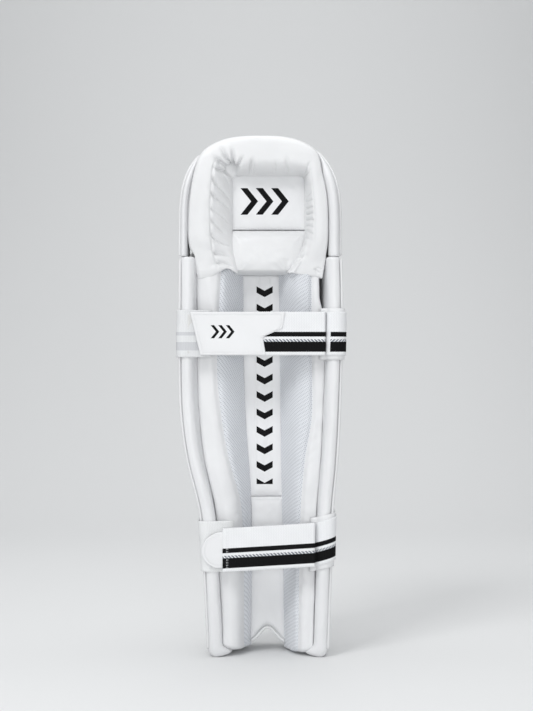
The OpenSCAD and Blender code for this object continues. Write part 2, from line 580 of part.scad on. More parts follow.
// How far round the dome a wing runs, in degrees
function upper_end(side) = side < 0 ? 40 : 50;
function upper_outer(side, t, r) =
    t < 0.2 ? [side < 0 ? -calf_left + r : calf_right - 1 - r, mix(wing_top + 2.5, dome_z, t / 0.2)]
    : let (a = upper_end(side) * (t - 0.2) / 0.8)
        [knee_x + (side < 0 ? -(calf_left - 1.5 - r) : calf_right + 0.5 - r) * cos(a) ^ (2 / dome_power),
         dome_z + (H - dome_z - r) * sin(a) ^ (2 / dome_power)];
function upper_inner(side, t) =
    t < 0.2 ? [side < 0 ? -84.4 : 76.4, mix(wing_top + 2.5, dome_z, t / 0.2)]
    : let (a = upper_end(side) * (t - 0.2) / 0.8)
        [-4 + side * 80.4 * cos(a) ^ (2 / dome_power),
         dome_z + (H - dome_z + 0.9) * sin(a) ^ (2 / dome_power)];
function upper_arc(side, t, inset) =
    let (o = upper_outer(side, t, 2.9 + inset), i = upper_inner(side, t), d = i - o,
         n = unit(d), q = i - n * inset, rear = at(wing_rear, dome_z) + inset)
    [for (s = [[0, 11], [0, -38], [0.12, -43], [0.35, -47.4],
               [0.65, -47.4], [0.88, -43], [1, -38], [1, 11]])
        let (p = mix(o, q, s[0])) [p[0], max(s[1], s[1] < 0 ? s[1] + inset : s[1]), p[1]]];
module knee_wing_cover(side) {
    color(PU_WHITE) sheet(
        turned([for (t = steps(UPPER_ROWS)) upper_arc(side, t, 0)], side),
        turned([for (t = steps(UPPER_ROWS)) upper_arc(side, t, skin)], side));
}
module knee_wing_core(side) {
    color(FOAM) loft(turned([for (t = steps(UPPER_ROWS)) upper_arc(side, t, skin + 0.15)], side));
}
module knee_wing_piping(side) {
    color(PU_WHITE)
        tube([for (t = steps(UPPER_ROWS)) let (p = upper_outer(side, t, 1.1)) [p[0], -37.5, p[1]]],
             piping_radius);
}
module knee_wing_left_cover() knee_wing_cover(-1);
module knee_wing_left_core() knee_wing_core(-1);
module knee_wing_left_piping() knee_wing_piping(-1);
module knee_wing_right_cover() knee_wing_cover(1);
module knee_wing_right_core() knee_wing_core(1);
module knee_wing_right_piping() knee_wing_piping(1);

shin_cover();
shin_wadding();
shin_canes();
shin_board();
centre_pad();
centre_lining();
centre_patch();
bolster_left_cover();
bolster_left_mesh();
bolster_left_core();
bolster_right_cover();
bolster_right_mesh();
bolster_right_core();
instep_piping();
wing_left_cover();
wing_left_core();
wing_left_piping();
upper_landing_band();
upper_loop_patch();
lower_landing_band();
lower_loop_patch();
wing_right_cover();
wing_right_core();
wing_right_piping();
upper_keeper();
upper_strap_anchor();
lower_keeper();
lower_strap_anchor();
upper_strap_webbing();
upper_strap_tab();
upper_hook_patch();
lower_strap_webbing();
lower_strap_tab();
lower_hook_patch();
knee_board();
knee_roll_low();
knee_roll_middle();
knee_roll_high();
knee_roll_cores();
top_cover();
top_pad();
horseshoe_cover();
horseshoe_core();
knee_patch_panel();
knee_patch_foam();
lower_knee_pad_cover();
lower_knee_pad_core();
knee_wing_left_cover();
knee_wing_left_core();
knee_wing_left_piping();
knee_wing_right_cover();
knee_wing_right_core();
knee_wing_right_piping();
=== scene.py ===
"""Cricket leg pad: the visible surfaces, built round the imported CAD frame.

Working units are millimetres; points are scaled to metres as each mesh is made.
+Z is up, the open side that takes the leg faces -Y.
"""

import math

import bpy
import numpy as np
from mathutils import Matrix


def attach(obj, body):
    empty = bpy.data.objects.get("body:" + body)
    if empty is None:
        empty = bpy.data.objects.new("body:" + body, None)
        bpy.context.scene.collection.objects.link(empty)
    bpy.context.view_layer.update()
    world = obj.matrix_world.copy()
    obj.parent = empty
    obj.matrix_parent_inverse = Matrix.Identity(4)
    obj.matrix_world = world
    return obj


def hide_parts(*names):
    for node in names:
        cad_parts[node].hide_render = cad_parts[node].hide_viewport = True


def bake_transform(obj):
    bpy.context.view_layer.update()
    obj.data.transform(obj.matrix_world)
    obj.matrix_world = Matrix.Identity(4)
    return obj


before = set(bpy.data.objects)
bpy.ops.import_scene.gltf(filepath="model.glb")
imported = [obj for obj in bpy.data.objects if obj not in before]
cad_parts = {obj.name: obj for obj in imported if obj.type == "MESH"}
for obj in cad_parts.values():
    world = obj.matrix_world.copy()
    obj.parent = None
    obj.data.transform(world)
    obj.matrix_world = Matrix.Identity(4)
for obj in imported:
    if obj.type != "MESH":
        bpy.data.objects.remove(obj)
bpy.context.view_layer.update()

MM = 0.001

# ------------------------------------------------------------------ profiles
H = 600.0
KNEE_Z = 0.728 * H
WING_TOP = 0.765 * H
DOME_Z = 0.818 * H
CALF_L, CALF_R, ANKLE_L, ANKLE_R = 95.0, 93.0, 67.0, 81.0
SEAM_Y = 8.0
BOARD = 30.0
WING_R = 7.6
DOME_N = 2.85


def profile(points):
    """Smooth curve through [height, value] points, for arrays."""
    x = np.array([p[0] for p in points], float)
    y = np.array([p[1] for p in points], float)
    n = len(x)
    before = np.maximum(np.arange(n) - 1, 0)
    after = np.minimum(np.arange(n) + 1, n - 1)
    m = (y[after] - y[before]) / (x[after] - x[before])

    def f(q):
        q = np.clip(np.asarray(q, float), x[0], x[-1])
        i = np.clip(np.searchsorted(x, q, side="right") - 1, 0, n - 2)
        h = x[i + 1] - x[i]
        t = (q - x[i]) / h
        return ((2 * t**3 - 3 * t**2 + 1) * y[i] + (t**3 - 2 * t**2 + t) * m[i] * h
                + (3 * t**2 - 2 * t**3) * y[i + 1] + (t**3 - t**2) * m[i + 1] * h)

    return f


left_edge = profile([[0, 4 - ANKLE_L], [0.15 * H, -ANKLE_L], [0.275 * H, -ANKLE_L - 5],
                     [0.39 * H, 7 - CALF_L], [0.5 * H, -CALF_L], [DOME_Z, -CALF_L]])
right_edge = profile([[0, ANKLE_R - 3], [0.15 * H, ANKLE_R], [0.275 * H, ANKLE_R + 2],
                      [0.39 * H, CALF_R - 4], [0.5 * H, CALF_R - 1], [0.67 * H, CALF_R + 1],
                      [DOME_Z, CALF_R - 1]])
wing_rear = profile([[0, -37], [0.1 * H, -43], [0.22 * H, -46], [0.42 * H, -48], [H, -48]])
channel_l = profile([[0, -12], [0.275 * H, -11], [0.46 * H, -18], [0.56 * H, -20], [KNEE_Z, -21]])
channel_r = profile([[0, 26.5], [0.275 * H, 23.5], [0.46 * H, 21.5], [KNEE_Z, 20]])
mesh_l = profile([[0, -20], [0.275 * H, -23], [0.38 * H, -38], [0.46 * H, -46], [0.56 * H, -51],
                  [KNEE_Z, -47]])
mesh_r = profile([[0, 42], [0.275 * H, 45], [0.38 * H, 50], [0.46 * H, 57.5], [0.56 * H, 57.5], [KNEE_Z, 57]])
crown = profile([[0, 0.90], [0.025, 0.96], [0.1, 0.99], [0.35, 1], [0.6, 0.84], [0.85, 0.36], [1, 0]])


def seam(side, z):
    return -54 - 20 * z / KNEE_Z if side < 0 else 68 + 8 * z / KNEE_Z


def edge(side, z):
    return left_edge(z) if side < 0 else right_edge(z)


def mix(a, b, t):
    return a + (b - a) * t


def smooth(a, b, x):
    t = np.clip((np.asarray(x, float) - a) / (b - a), 0, 1)
    return t * t * (3 - 2 * t)


def bump(x, centre, width):
    return np.exp(-((np.asarray(x, float) - centre) / width) ** 2)


def hashed(i, j, seed):
    v = np.sin(i * 127.1 + j * 311.7 + seed * 74.7) * 43758.5453
    return (v - np.floor(v)) * 2 - 1


def noise2(x, y, seed=0):
    """Smooth value noise from -1 to 1."""
    x, y = np.broadcast_arrays(np.asarray(x, float), np.asarray(y, float))
    i, j = np.floor(x), np.floor(y)
    u, v = x - i, y - j
    u, v = u * u * (3 - 2 * u), v * v * (3 - 2 * v)
    a, b = hashed(i, j, seed), hashed(i + 1, j, seed)
    c, d = hashed(i, j + 1, seed), hashed(i + 1, j + 1, seed)
    return mix(mix(a, b, u), mix(c, d, u), v)


# ------------------------------------------------------------------ materials
def new_material(name, color, rough, specular=0.5, sheen=0.0, coat=0.0):
    m = bpy.data.materials.new(name)
    m.use_nodes = True
    nt = m.node_tree
    b = nt.nodes["Principled BSDF"]
    b.inputs["Base Color"].default_value = (*color, 1)
    b.inputs["Roughness"].default_value = rough
    b.inputs["Specular IOR Level"].default_value = specular
    b.inputs["Sheen Weight"].default_value = sheen
    b.inputs["Coat Weight"].default_value = coat
    return m, nt, b


class Net:
    """Short hand for building a node network."""

    def __init__(self, nt):
        self.nt = nt

    def node(self, kind, **settings):
        n = self.nt.nodes.new(kind)
        for k, v in settings.items():
            setattr(n, k, v)
        return n

    def link(self, a, b):
        self.nt.links.new(a, b)

    def value(self, socket, v):
        if hasattr(v, "is_linked") or isinstance(v, bpy.types.NodeSocket):
            self.link(v, socket)
        else:
            socket.default_value = v

    def math(self, op, a, b=0.0, c=None):
        n = self.node("ShaderNodeMath", operation=op)
        self.value(n.inputs[0], a)
        self.value(n.inputs[1], b)
        if c is not None:
            self.value(n.inputs[2], c)
        return n.outputs[0]

    def coords(self, uv=False):
        n = self.node("ShaderNodeTexCoord")
        return n.outputs["UV"] if uv else n.outputs["Object"]

    def split(self, vec):
        n = self.node("ShaderNodeSeparateXYZ")
        self.link(vec, n.inputs[0])
        return n.outputs[0], n.outputs[1], n.outputs[2]

    def noise(self, vec, scale, detail=2.0, rough=0.5):
        n = self.node("ShaderNodeTexNoise")
        self.link(vec, n.inputs["Vector"])
        n.inputs["Scale"].default_value = scale
        n.inputs["Detail"].default_value = detail
        n.inputs["Roughness"].default_value = rough
        return n.outputs["Fac"]

    def voronoi(self, vec, scale):
        n = self.node("ShaderNodeTexVoronoi")
        self.link(vec, n.inputs["Vector"])
        n.inputs["Scale"].default_value = scale
        return n.outputs["Distance"]

    def ramp(self, fac, stops):
        n = self.node("ShaderNodeValToRGB")
        while len(n.color_ramp.elements) < len(stops):
            n.color_ramp.elements.new(0.5)
        for e, (p, c) in zip(n.color_ramp.elements, stops):
            e.position = p
            e.color = (*c, 1)
        self.link(fac, n.inputs[0])
        return n.outputs[0]

    def mix(self, fac, a, b):
        n = self.node("ShaderNodeMix", data_type="RGBA")
        self.value(n.inputs[0], fac)
        self.value(n.inputs[6], a if isinstance(a, bpy.types.NodeSocket) else (*a, 1))
        self.value(n.inputs[7], b if isinstance(b, bpy.types.NodeSocket) else (*b, 1))
        return n.outputs[2]

    def bump(self, height, strength, distance, target, under=None):
        n = self.node("ShaderNodeBump")
        n.inputs["Strength"].default_value = strength
        n.inputs["Distance"].default_value = distance
        self.link(height, n.inputs["Height"])
        if under is not None:
            self.link(under, n.inputs["Normal"])
        if target is not None:
            self.link(n.outputs[0], target)
        return n.outputs[0]


def leather(name, color, rough=0.42, grain=1.0, creases=0.5):
    """Coated synthetic leather: fine pebble grain, faint creases and slight tone variation."""
    m, nt, b = new_material(name, color, rough, 0.42, sheen=0.05, coat=0.06)
    b.inputs["Coat Roughness"].default_value = 0.35
    net = Net(nt)
    p = net.coords()
    grains = net.voronoi(p, 900.0)
    fine = net.noise(p, 2600.0, 2.0)
    soft = net.noise(p, 55.0, 3.0, 0.55)
    wide = net.noise(p, 14.0, 2.0)
    height = net.math("ADD", net.math("MULTIPLY", grains, 0.55), net.math("MULTIPLY", fine, 0.35))
    low = net.bump(soft, 0.16 * creases, 0.0012, None)
    net.bump(height, 0.22 * grain, 0.00022, b.inputs["Normal"], under=low)
    c1 = tuple(min(1, v * 1.018) for v in color)
    c2 = tuple(v * 0.965 for v in color)
    net.link(net.ramp(wide, [(0.3, c2), (0.7, c1)]), b.inputs["Base Color"])
    net.link(net.math("MULTIPLY_ADD", soft, 0.16, rough - 0.08), b.inputs["Roughness"])
    return m


def mesh_fabric(name, color, hole_shade):
    """Knitted spacer mesh: a diagonal lattice of small holes between raised yarns, with painted shade in the
    holes. UV in metres.
    """
    m, nt, b = new_material(name, color, 0.78, 0.25, sheen=0.35)
    b.inputs["Sheen Roughness"].default_value = 0.5
    net = Net(nt)
    u, v, _ = net.split(net.coords(uv=True))
    pitch_u, pitch_v = 0.0030, 0.0023
    u = net.math("MULTIPLY_ADD", v, 0.55, u)
    a = net.math("MULTIPLY", u, math.tau / pitch_u / 2)
    c = net.math("MULTIPLY", v, math.tau / pitch_v / 2)
    rising = net.math("SINE", net.math("ADD", a, c))
    falling = net.math("SINE", net.math("SUBTRACT", a, c))
    lattice = net.math("MULTIPLY", rising, falling)
    holes = net.node("ShaderNodeMapRange")
    net.link(lattice, holes.inputs["Value"])
    holes.inputs["From Min"].default_value = 0.30
    holes.inputs["From Max"].default_value = 0.72
    fibre = net.noise(net.coords(), 3200.0, 2.0)
    tone = net.noise(net.coords(), 20.0, 2.0)
    base = net.ramp(tone, [(0.3, tuple(v * 0.97 for v in color)), (0.7, color)])
    # painted shade: the holes are coloured most of the way towards hole_shade, standing in for the shade
    # inside them
    net.link(net.mix(net.math("MULTIPLY", holes.outputs[0], 0.8), base, hole_shade), b.inputs["Base Color"])
    height = net.math("SUBTRACT", net.math("MULTIPLY", fibre, 0.25), holes.outputs[0])
    net.bump(height, 0.55, 0.0006, b.inputs["Normal"])
    return m


def foam(name, color):
    m, nt, b = new_material(name, color, 0.9, 0.2)
    net = Net(nt)
    cells = net.voronoi(net.coords(), 1400.0)
    net.bump(cells, 0.5, 0.0004, b.inputs["Normal"])
    net.link(net.ramp(net.noise(net.coords(), 30.0), [(0.3, tuple(v * 0.94 for v in color)), (0.7, color)]),
             b.inputs["Base Color"])
    return m


# weave of the elastic, in metres
WEAVE_ROW, WEAVE_STITCH, DASH_PITCH = 0.0016, 0.0019, 0.0040


def webbing(name, stripes, white=(0.85, 0.86, 0.875), plain_from=1.0):
    """Woven elastic; UV.x runs along the strap, UV.y up it. stripes: (low, high, tone), in metres."""
    m, nt, b = new_material(name, white, 0.8, 0.12)
    net = Net(nt)
    u, v, _ = net.split(net.coords(uv=True))
    colour = net.ramp(net.noise(net.coords(), 40.0), [(0.3, tuple(c * 0.96 for c in white)), (0.7, white)])
    # each rib of the weave is a small slanted stitch that flips every row
    row = net.math("MULTIPLY", v, 1 / WEAVE_ROW)
    flip = net.math("PINGPONG", row, 1.0)
    slant = net.math("MULTIPLY_ADD", flip, 0.5, net.math("MULTIPLY", u, 1 / WEAVE_STITCH))
    rib = net.math("SINE", net.math("MULTIPLY", slant, math.tau))
    rib = net.math("MULTIPLY_ADD", rib, 0.5, 0.5)
    cord = net.math("MULTIPLY_ADD", net.math("COSINE", net.math("MULTIPLY", row, math.tau)), 0.5, 0.5)
    black = (0.003, 0.003, 0.0035)
    for low, high, tone in stripes:
        wob = net.math("MULTIPLY_ADD", rib, 0.00035, v)
        inside = net.math("MULTIPLY", net.math("GREATER_THAN", wob, low), net.math("LESS_THAN", wob, high))
        # no stripe shows where the tape is gathered into its seam
        end = net.math("MULTIPLY_ADD", v, -0.02, plain_from)
        inside = net.math("MULTIPLY", inside, net.math("LESS_THAN", u, end))
        if tone == "dash":
            # slanted grey dashes between the white and the wide black stripe
            slope = net.math("ADD", net.math("MULTIPLY", u, 1 / DASH_PITCH), net.math("MULTIPLY", v, 260.0))
            dash = net.math("FRACT", slope)
            inside = net.math("MULTIPLY", inside, net.math("LESS_THAN", dash, 0.62))
            colour = net.mix(inside, colour, (0.20, 0.22, 0.25))
        elif tone == "black":
            ink = net.mix(net.math("MULTIPLY", rib, 0.5), black, (0.012, 0.012, 0.013))
            colour = net.mix(inside, colour, ink)
        else:
            colour = net.mix(inside, colour, tone)
    # painted shade: the colour is darkened in the grooves between the weave's ribs
    painted_rib_shade = net.math("MULTIPLY_ADD", rib, 0.10, 0.90)
    painted_shade_mix = net.node("ShaderNodeMix", data_type="RGBA", blend_type="MULTIPLY")
    painted_shade_mix.inputs[0].default_value = 1.0
    net.link(colour, painted_shade_mix.inputs[6])
    grey = net.node("ShaderNodeCombineColor")
    for k in range(3):
        net.link(painted_rib_shade, grey.inputs[k])
    net.link(grey.outputs[0], painted_shade_mix.inputs[7])
    net.link(painted_shade_mix.outputs[2], b.inputs["Base Color"])
    height = net.math("ADD", net.math("MULTIPLY", rib, 0.6), net.math("MULTIPLY", cord, 0.4))
    net.bump(height, 0.5, 0.0004, b.inputs["Normal"])
    return m


def printed(material, mask_maker, ink=(0.004, 0.004, 0.0045)):
    """Adds a flat printed motif to a leather material; mask_maker(net, x, z) makes its mask."""
    nt = material.node_tree
    net = Net(nt)
    b = nt.nodes["Principled BSDF"]
    x, _, z = net.split(net.coords())
    mask = mask_maker(net, x, z)
    before = b.inputs["Base Color"].links[0].from_socket
    net.link(net.mix(mask, before, ink), b.inputs["Base Color"])
    bare = net.math("SUBTRACT", 1.0, mask)
    net.link(net.math("MULTIPLY_ADD", bare, 0.36, 0.06), b.inputs["Specular IOR Level"])
    net.link(net.math("MULTIPLY", bare, 0.06), b.inputs["Coat Weight"])
    net.link(net.math("MULTIPLY", bare, 0.05), b.inputs["Sheen Weight"])
    return material


PU = (0.74, 0.745, 0.755)
M_PU = leather("pu_white", PU)
M_PU_SOFT = leather("pu_gathered", (0.745, 0.75, 0.757), 0.46, 0.8, 0.9)
M_FRONT = leather("pu_front", (0.745, 0.75, 0.755), 0.38, 1.1, 0.4)
M_PIPE = leather("piping", (0.71, 0.715, 0.72), 0.45, 0.6, 0.2)
M_BAND = webbing("band_white", [], (0.83, 0.84, 0.845))
# the second colour is painted shade for the inside of the mesh's holes
M_MESH = mesh_fabric("spacer_mesh", (0.72, 0.74, 0.775), (0.36, 0.38, 0.415))
M_THREAD = new_material("thread", (0.72, 0.73, 0.74), 0.6)[0]
M_HOOK = foam("hook_tape", (0.74, 0.74, 0.73))
M_CANE = foam("cane", (0.60, 0.43, 0.22))


# ------------------------------------------------------------------ mesh building
def build(name, verts, faces, material, body, slot=None, nodes=(), uv=None, pad=None):
    me = bpy.data.meshes.new(name)
    v = np.asarray(verts, float).reshape(-1, 3) * MM
    me.from_pydata(v.tolist(), [], faces)
    me.validate()
    if uv is not None:
        uv = np.asarray(uv, float).reshape(-1, 2) * MM
        layer = me.uv_layers.new(name="UVMap")
        loops = np.empty(len(me.loops), int)
        me.loops.foreach_get("vertex_index", loops)
        layer.data.foreach_set("uv", uv[loops].ravel())
    me.materials.append(material)
    me.update()
    o = bpy.data.objects.new(name, me)
    bpy.context.collection.objects.link(o)
    me.shade_smooth()
    if isinstance(body, tuple):
        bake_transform(o)
    else:
        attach(o, body)
    if nodes:
        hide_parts(*nodes)
    return o


def loft(rings, cap_start=True, cap_end=True):
    """Verts and faces of a tube of closed rings; each end is closed by a small fan."""
    rings = np.asarray(rings, float)
    r, n, _ = rings.shape
    verts = rings.reshape(-1, 3)
    faces = [(i * n + j, i * n + (j + 1) % n, (i + 1) * n + (j + 1) % n, (i + 1) * n + j)
             for i in range(r - 1) for j in range(n)]
    extra = []
    if cap_start:
        extra.append(rings[0].mean(0))
        c = len(verts) + len(extra) - 1
        faces += [(c, (j + 1) % n, j) for j in range(n)]
    if cap_end:
        extra.append(rings[-1].mean(0))
        c = len(verts) + len(extra) - 1
        k = (r - 1) * n
        faces += [(c, k + j, k + (j + 1) % n) for j in range(n)]
    if extra:
        verts = np.vstack([verts, np.array(extra)])
    return verts, faces


def run_length(g, axis):
    """Distance run along one axis of a grid of points, from its first row or column."""
    steps = np.linalg.norm(np.diff(g, axis=axis), axis=2)
    start = np.zeros((g.shape[0], 1) if axis == 1 else (1, g.shape[1]))
    return np.concatenate([start, np.cumsum(steps, axis)], axis)


def ring_uv(rings, extra=0):
    """UVs of a loft, in mm: along the rings across, up the rings down."""
    rings = np.asarray(rings, float)
    across = run_length(rings, 1)
    across -= across.mean(1, keepdims=True)
    up = np.concatenate([[0], np.cumsum(np.linalg.norm(np.diff(rings.mean(1), axis=0), axis=1))])
    uv = np.stack([across, np.repeat(up[:, None], rings.shape[1], 1)], 2).reshape(-1, 2)
    return np.vstack([uv, np.zeros((extra, 2))])


def plate(front, back):
    """Closed solid between two grids of the same size (rows, cols, 3)."""
    front, back = np.asarray(front, float), np.asarray(back, float)
    r, c, _ = front.shape
    half = r * c
    verts = np.vstack([front.reshape(-1, 3), back.reshape(-1, 3)])
    faces = []
    for i in range(r - 1):
        for j in range(c - 1):
            a = i * c + j
            faces.append((a, a + 1, a + c + 1, a + c))
            faces.append((half + a, half + a + c, half + a + c + 1, half + a + 1))
    rim = [*range(c), *[i * c + c - 1 for i in range(1, r)], *[(r - 1) * c + j for j in range(c - 2, -1, -1)],
           *[i * c for i in range(r - 2, 0, -1)]]
    for k in range(len(rim)):
        a, b = rim[k], rim[(k + 1) % len(rim)]
        faces.append((b, a, half + a, half + b))
    return verts, faces


def grid_uv(g):
    g = np.asarray(g, float)
    return np.stack([run_length(g, 1), run_length(g, 0)], 2).reshape(-1, 2)


def frames(path):
    path = np.asarray(path, float)
    d = np.gradient(path, axis=0)
    d /= np.linalg.norm(d, axis=1, keepdims=True)
    ref = np.array([0.03, 1.0, 0.02])
    a = np.cross(d, ref)
    a /= np.linalg.norm(a, axis=1, keepdims=True)
    b = np.cross(d, a)
    return path, a, b


def rings_round(path, radii, a, b, sides):
    """Rings of points round a path, spread over its two cross axes."""
    k = np.arange(sides) * math.tau / sides
    spokes = a[:, None] * np.cos(k)[None, :, None] + b[:, None] * np.sin(k)[None, :, None]
    return path[:, None] + radii[:, None, None] * spokes


def tube(path, r, sides=10, wobble=0.0, seed=0):
    path, a, b = frames(path)
    n = len(path)
    rr = np.full(n, float(r))
    rr[0] = rr[-1] = r * 0.55
    if wobble:
        rr *= 1 + wobble * noise2(np.arange(n) * 0.7, 0.0, seed)
    return loft(rings_round(path, rr, a, b, sides))


def resample(path, pitch):
    path = np.asarray(path, float)
    s = np.concatenate([[0], np.cumsum(np.linalg.norm(np.diff(path, axis=0), axis=1))])
    n = max(2, int(round(s[-1] / pitch)) + 1)
    q = np.linspace(0, s[-1], n)
    return np.stack([np.interp(q, s, path[:, k]) for k in range(3)], 1)


def stitches(path, length=2.6, gap=1.4, r=0.32):
    """Verts and faces of a run of thread stitches along a path."""
    pts = resample(path, length + gap)
    out_v, out_f = [], []
    for a, b in zip(pts[:-1], pts[1:]):
        d = (b - a) / max(np.linalg.norm(b - a), 1e-6)
        q = np.array([a + d * length * t for t in (0, 0.2, 0.5, 0.8, 1.0)])
        q, u, w = frames(q)
        rr = r * np.array([0.35, 0.9, 1.0, 0.9, 0.35])
        v, f = loft(rings_round(q, rr, u, w, 6))
        base = sum(len(x) for x in out_v)
        out_v.append(v)
        out_f += [tuple(i + base for i in t) for t in f]
    return np.vstack(out_v), out_f


def joined(parts):
    vs, fs, base = [], [], 0
    for v, f in parts:
        vs.append(v)
        fs += [tuple(i + base for i in t) for t in f]
        base += len(v)
    return np.vstack(vs), fs


def relief(grid, height):
    """Moves a grid of points along its own normals by height."""
    g = np.asarray(grid, float)
    du = np.gradient(g, axis=1)
    dv = np.gradient(g, axis=0)
    n = np.cross(du, dv)
    n /= np.maximum(np.linalg.norm(n, axis=2, keepdims=True), 1e-9)
    return g + n * np.asarray(height)[..., None]


# ------------------------------------------------------------------ shell over the shin
def shell_x(z):
    return (seam(-1, z) + seam(1, z)) / 2


def shell_half(z):
    return (seam(1, z) - seam(-1, z)) / 2 - WING_R - 0.5


def shell(z, ang, h):
    a = np.radians(ang)
    x = shell_x(z) + (shell_half(z) + h) * np.cos(a)
    y = SEAM_Y + (BOARD + h) * np.sin(a)
    return np.stack(np.broadcast_arrays(x, y, z), -1)


RISE, ARCH_X = 38.0, 8.0


def shell_bottom(x):
    w = np.where(x < ARCH_X, 45.0, 53.0)
    return RISE * np.clip(1 - ((x - ARCH_X) / w) ** 2, 0, 1) ** 1.5


def lining_bottom(x):
    return 10 + 19 * np.exp(-((x - ARCH_X + 1) / 14) ** 2)


RIBS, RIB_H = 7, 11.0


def rib_angle(i):
    w = 2 * i / RIBS - 1
    return 90 - 82 * math.copysign(abs(w) ** 1.12, w)


def make_shell():
    ang, h = [], []
    for i in range(RIBS):
        a0, a1 = rib_angle(i), rib_angle(i + 1)
        for v in np.sin(np.linspace(-1, 1, 21)[:-1] * math.pi / 2):
            ang.append((a0 + a1) / 2 - v * (a0 - a1) / 2)
            h.append(0.4 + 1.2 + (RIB_H - 0.4) * max(0.0, 1 - v * v) ** 0.5)
    ang.append(rib_angle(RIBS))
    h.append(1.6)
    ang, h = np.array(ang), np.array(h)
    # a short return that tucks the cover behind the wing seam
    ang = np.concatenate([[174.5, 172.6], ang, [7.4, 5.5]])
    h = np.concatenate([[0.2, 1.2], h, [1.2, 0.2]])
    rows = 150
    x0 = shell(0.0, ang, h)[:, 0]
    from_side = np.minimum(x0 - x0.min(), x0.max() - x0)
    corner = 1 - (1 - np.clip(from_side / 13, 0, 1)) ** 2
    low = np.maximum(shell_bottom(x0), 11 * (1 - np.sqrt(np.clip(corner, 0, 1))))
    t = np.linspace(0, 1, rows)[:, None]
    z = mix(low[None, :], KNEE_Z - 3, t)
    d = z - low[None, :]
    top = KNEE_Z - 3 - z
    ends = np.clip(1 - (1 - np.clip(d, 0, 9) / 9) ** 2, 0, 1) ** 0.5
    ends = ends * np.clip(1 - (1 - np.clip(top, 0, 8) / 8) ** 2, 0, 1) ** 0.5
    hh = 0.6 + (h[None, :] - 0.6) * (0.25 + 0.75 * ends)
    wander = 0.35 * noise2(ang[None, :] / 9.0, z / 34.0, 3) + 0.18 * noise2(ang[None, :] / 2.5, z / 9.0, 4)
    hh = hh + (h[None, :] > 3) * wander
    front = shell(z, ang[None, :], hh)
    back = shell(z, ang[None, :], np.full_like(z, -7.0))
    v, f = plate(front[:, ::-1], back[:, ::-1])
    uv = np.vstack([grid_uv(front[:, ::-1])] * 2)
    build("shin_shell", v, f, M_FRONT, "shin", "pu_cover", ["shin_cover", "shin_board", "shin_wadding"],
          uv=uv, pad=0.9)
    # binding along the lower edge
    lowest = shell(low + 0.4, ang, np.full_like(ang, -0.5))
    v, f = tube(resample(lowest, 3.0), 1.7, 8)
    v[:, 2] = np.maximum(v[:, 2], 0.1)
    build("lower_binding", v, f, M_PIPE, "shin", "piping")
    # stitched valleys
    parts = []
    for i in range(1, RIBS):
        a = rib_angle(i)
        x = float(shell(0.0, np.array([a]), np.array([1.0]))[0, 0])
        zz = np.linspace(float(shell_bottom(np.array([x]))[0]) + 8, KNEE_Z - 10, 60)
        parts.append(stitches(shell(zz, np.full_like(zz, a), np.full_like(zz, 2.0)), 3.2, 1.8, 0.35))
    v, f = joined(parts)
    build("valley_stitching", v, f, M_THREAD, "shin", "piping")


make_shell()

# ------------------------------------------------------------------ shin channel
CH_Y = -2.0
# metres: a height on the channel between the shin and the knee section
FLEX_FROM = (0, 0, 0.412)
PATCH_Z = 0.303 * H


def knee_board_y(x):
    return SEAM_Y + 26 * np.sqrt(np.clip(1 - ((x + 1.5) / 72) ** 2, 0, 1))


def inner_y(z, x):
    w = shell_half(z) - 8
    return SEAM_Y + 22 * np.sqrt(np.clip(1 - ((x - shell_x(z)) / w) ** 2, 0, 1))


def channel_grid(z0, z1, rows, cols, puff, z_arch=False):
    u = np.linspace(0, 1, cols)[None, :]
    t = np.linspace(0, 1, rows)[:, None]
    xb = mix(channel_l(0.0), channel_r(0.0), u)
    low = lining_bottom(xb) if z_arch else np.full_like(xb, z0)
    z = mix(low, z1, t)
    x = mix(channel_l(np.minimum(z, KNEE_Z)) - 1.0, channel_r(np.minimum(z, KNEE_Z)) + 1.0, u)
    round_u = (1 - np.abs(2 * u - 1) ** 4)
    end0 = 1 - (1 - np.clip((z - low) / 9, 0, 1)) ** 2.2
    end1 = 1 - (1 - np.clip((z1 - z) / 9, 0, 1)) ** 2.2
    y = CH_Y + 10 * u * (1 - u) * 0.6 + 2.2 - puff * round_u * np.minimum(end0, end1)
    y = y - 0.35 * noise2(x / 13, z / 17, 8) * round_u - 0.2 * noise2(x / 4.5, z / 6.5, 9) * round_u
    return x, y, z


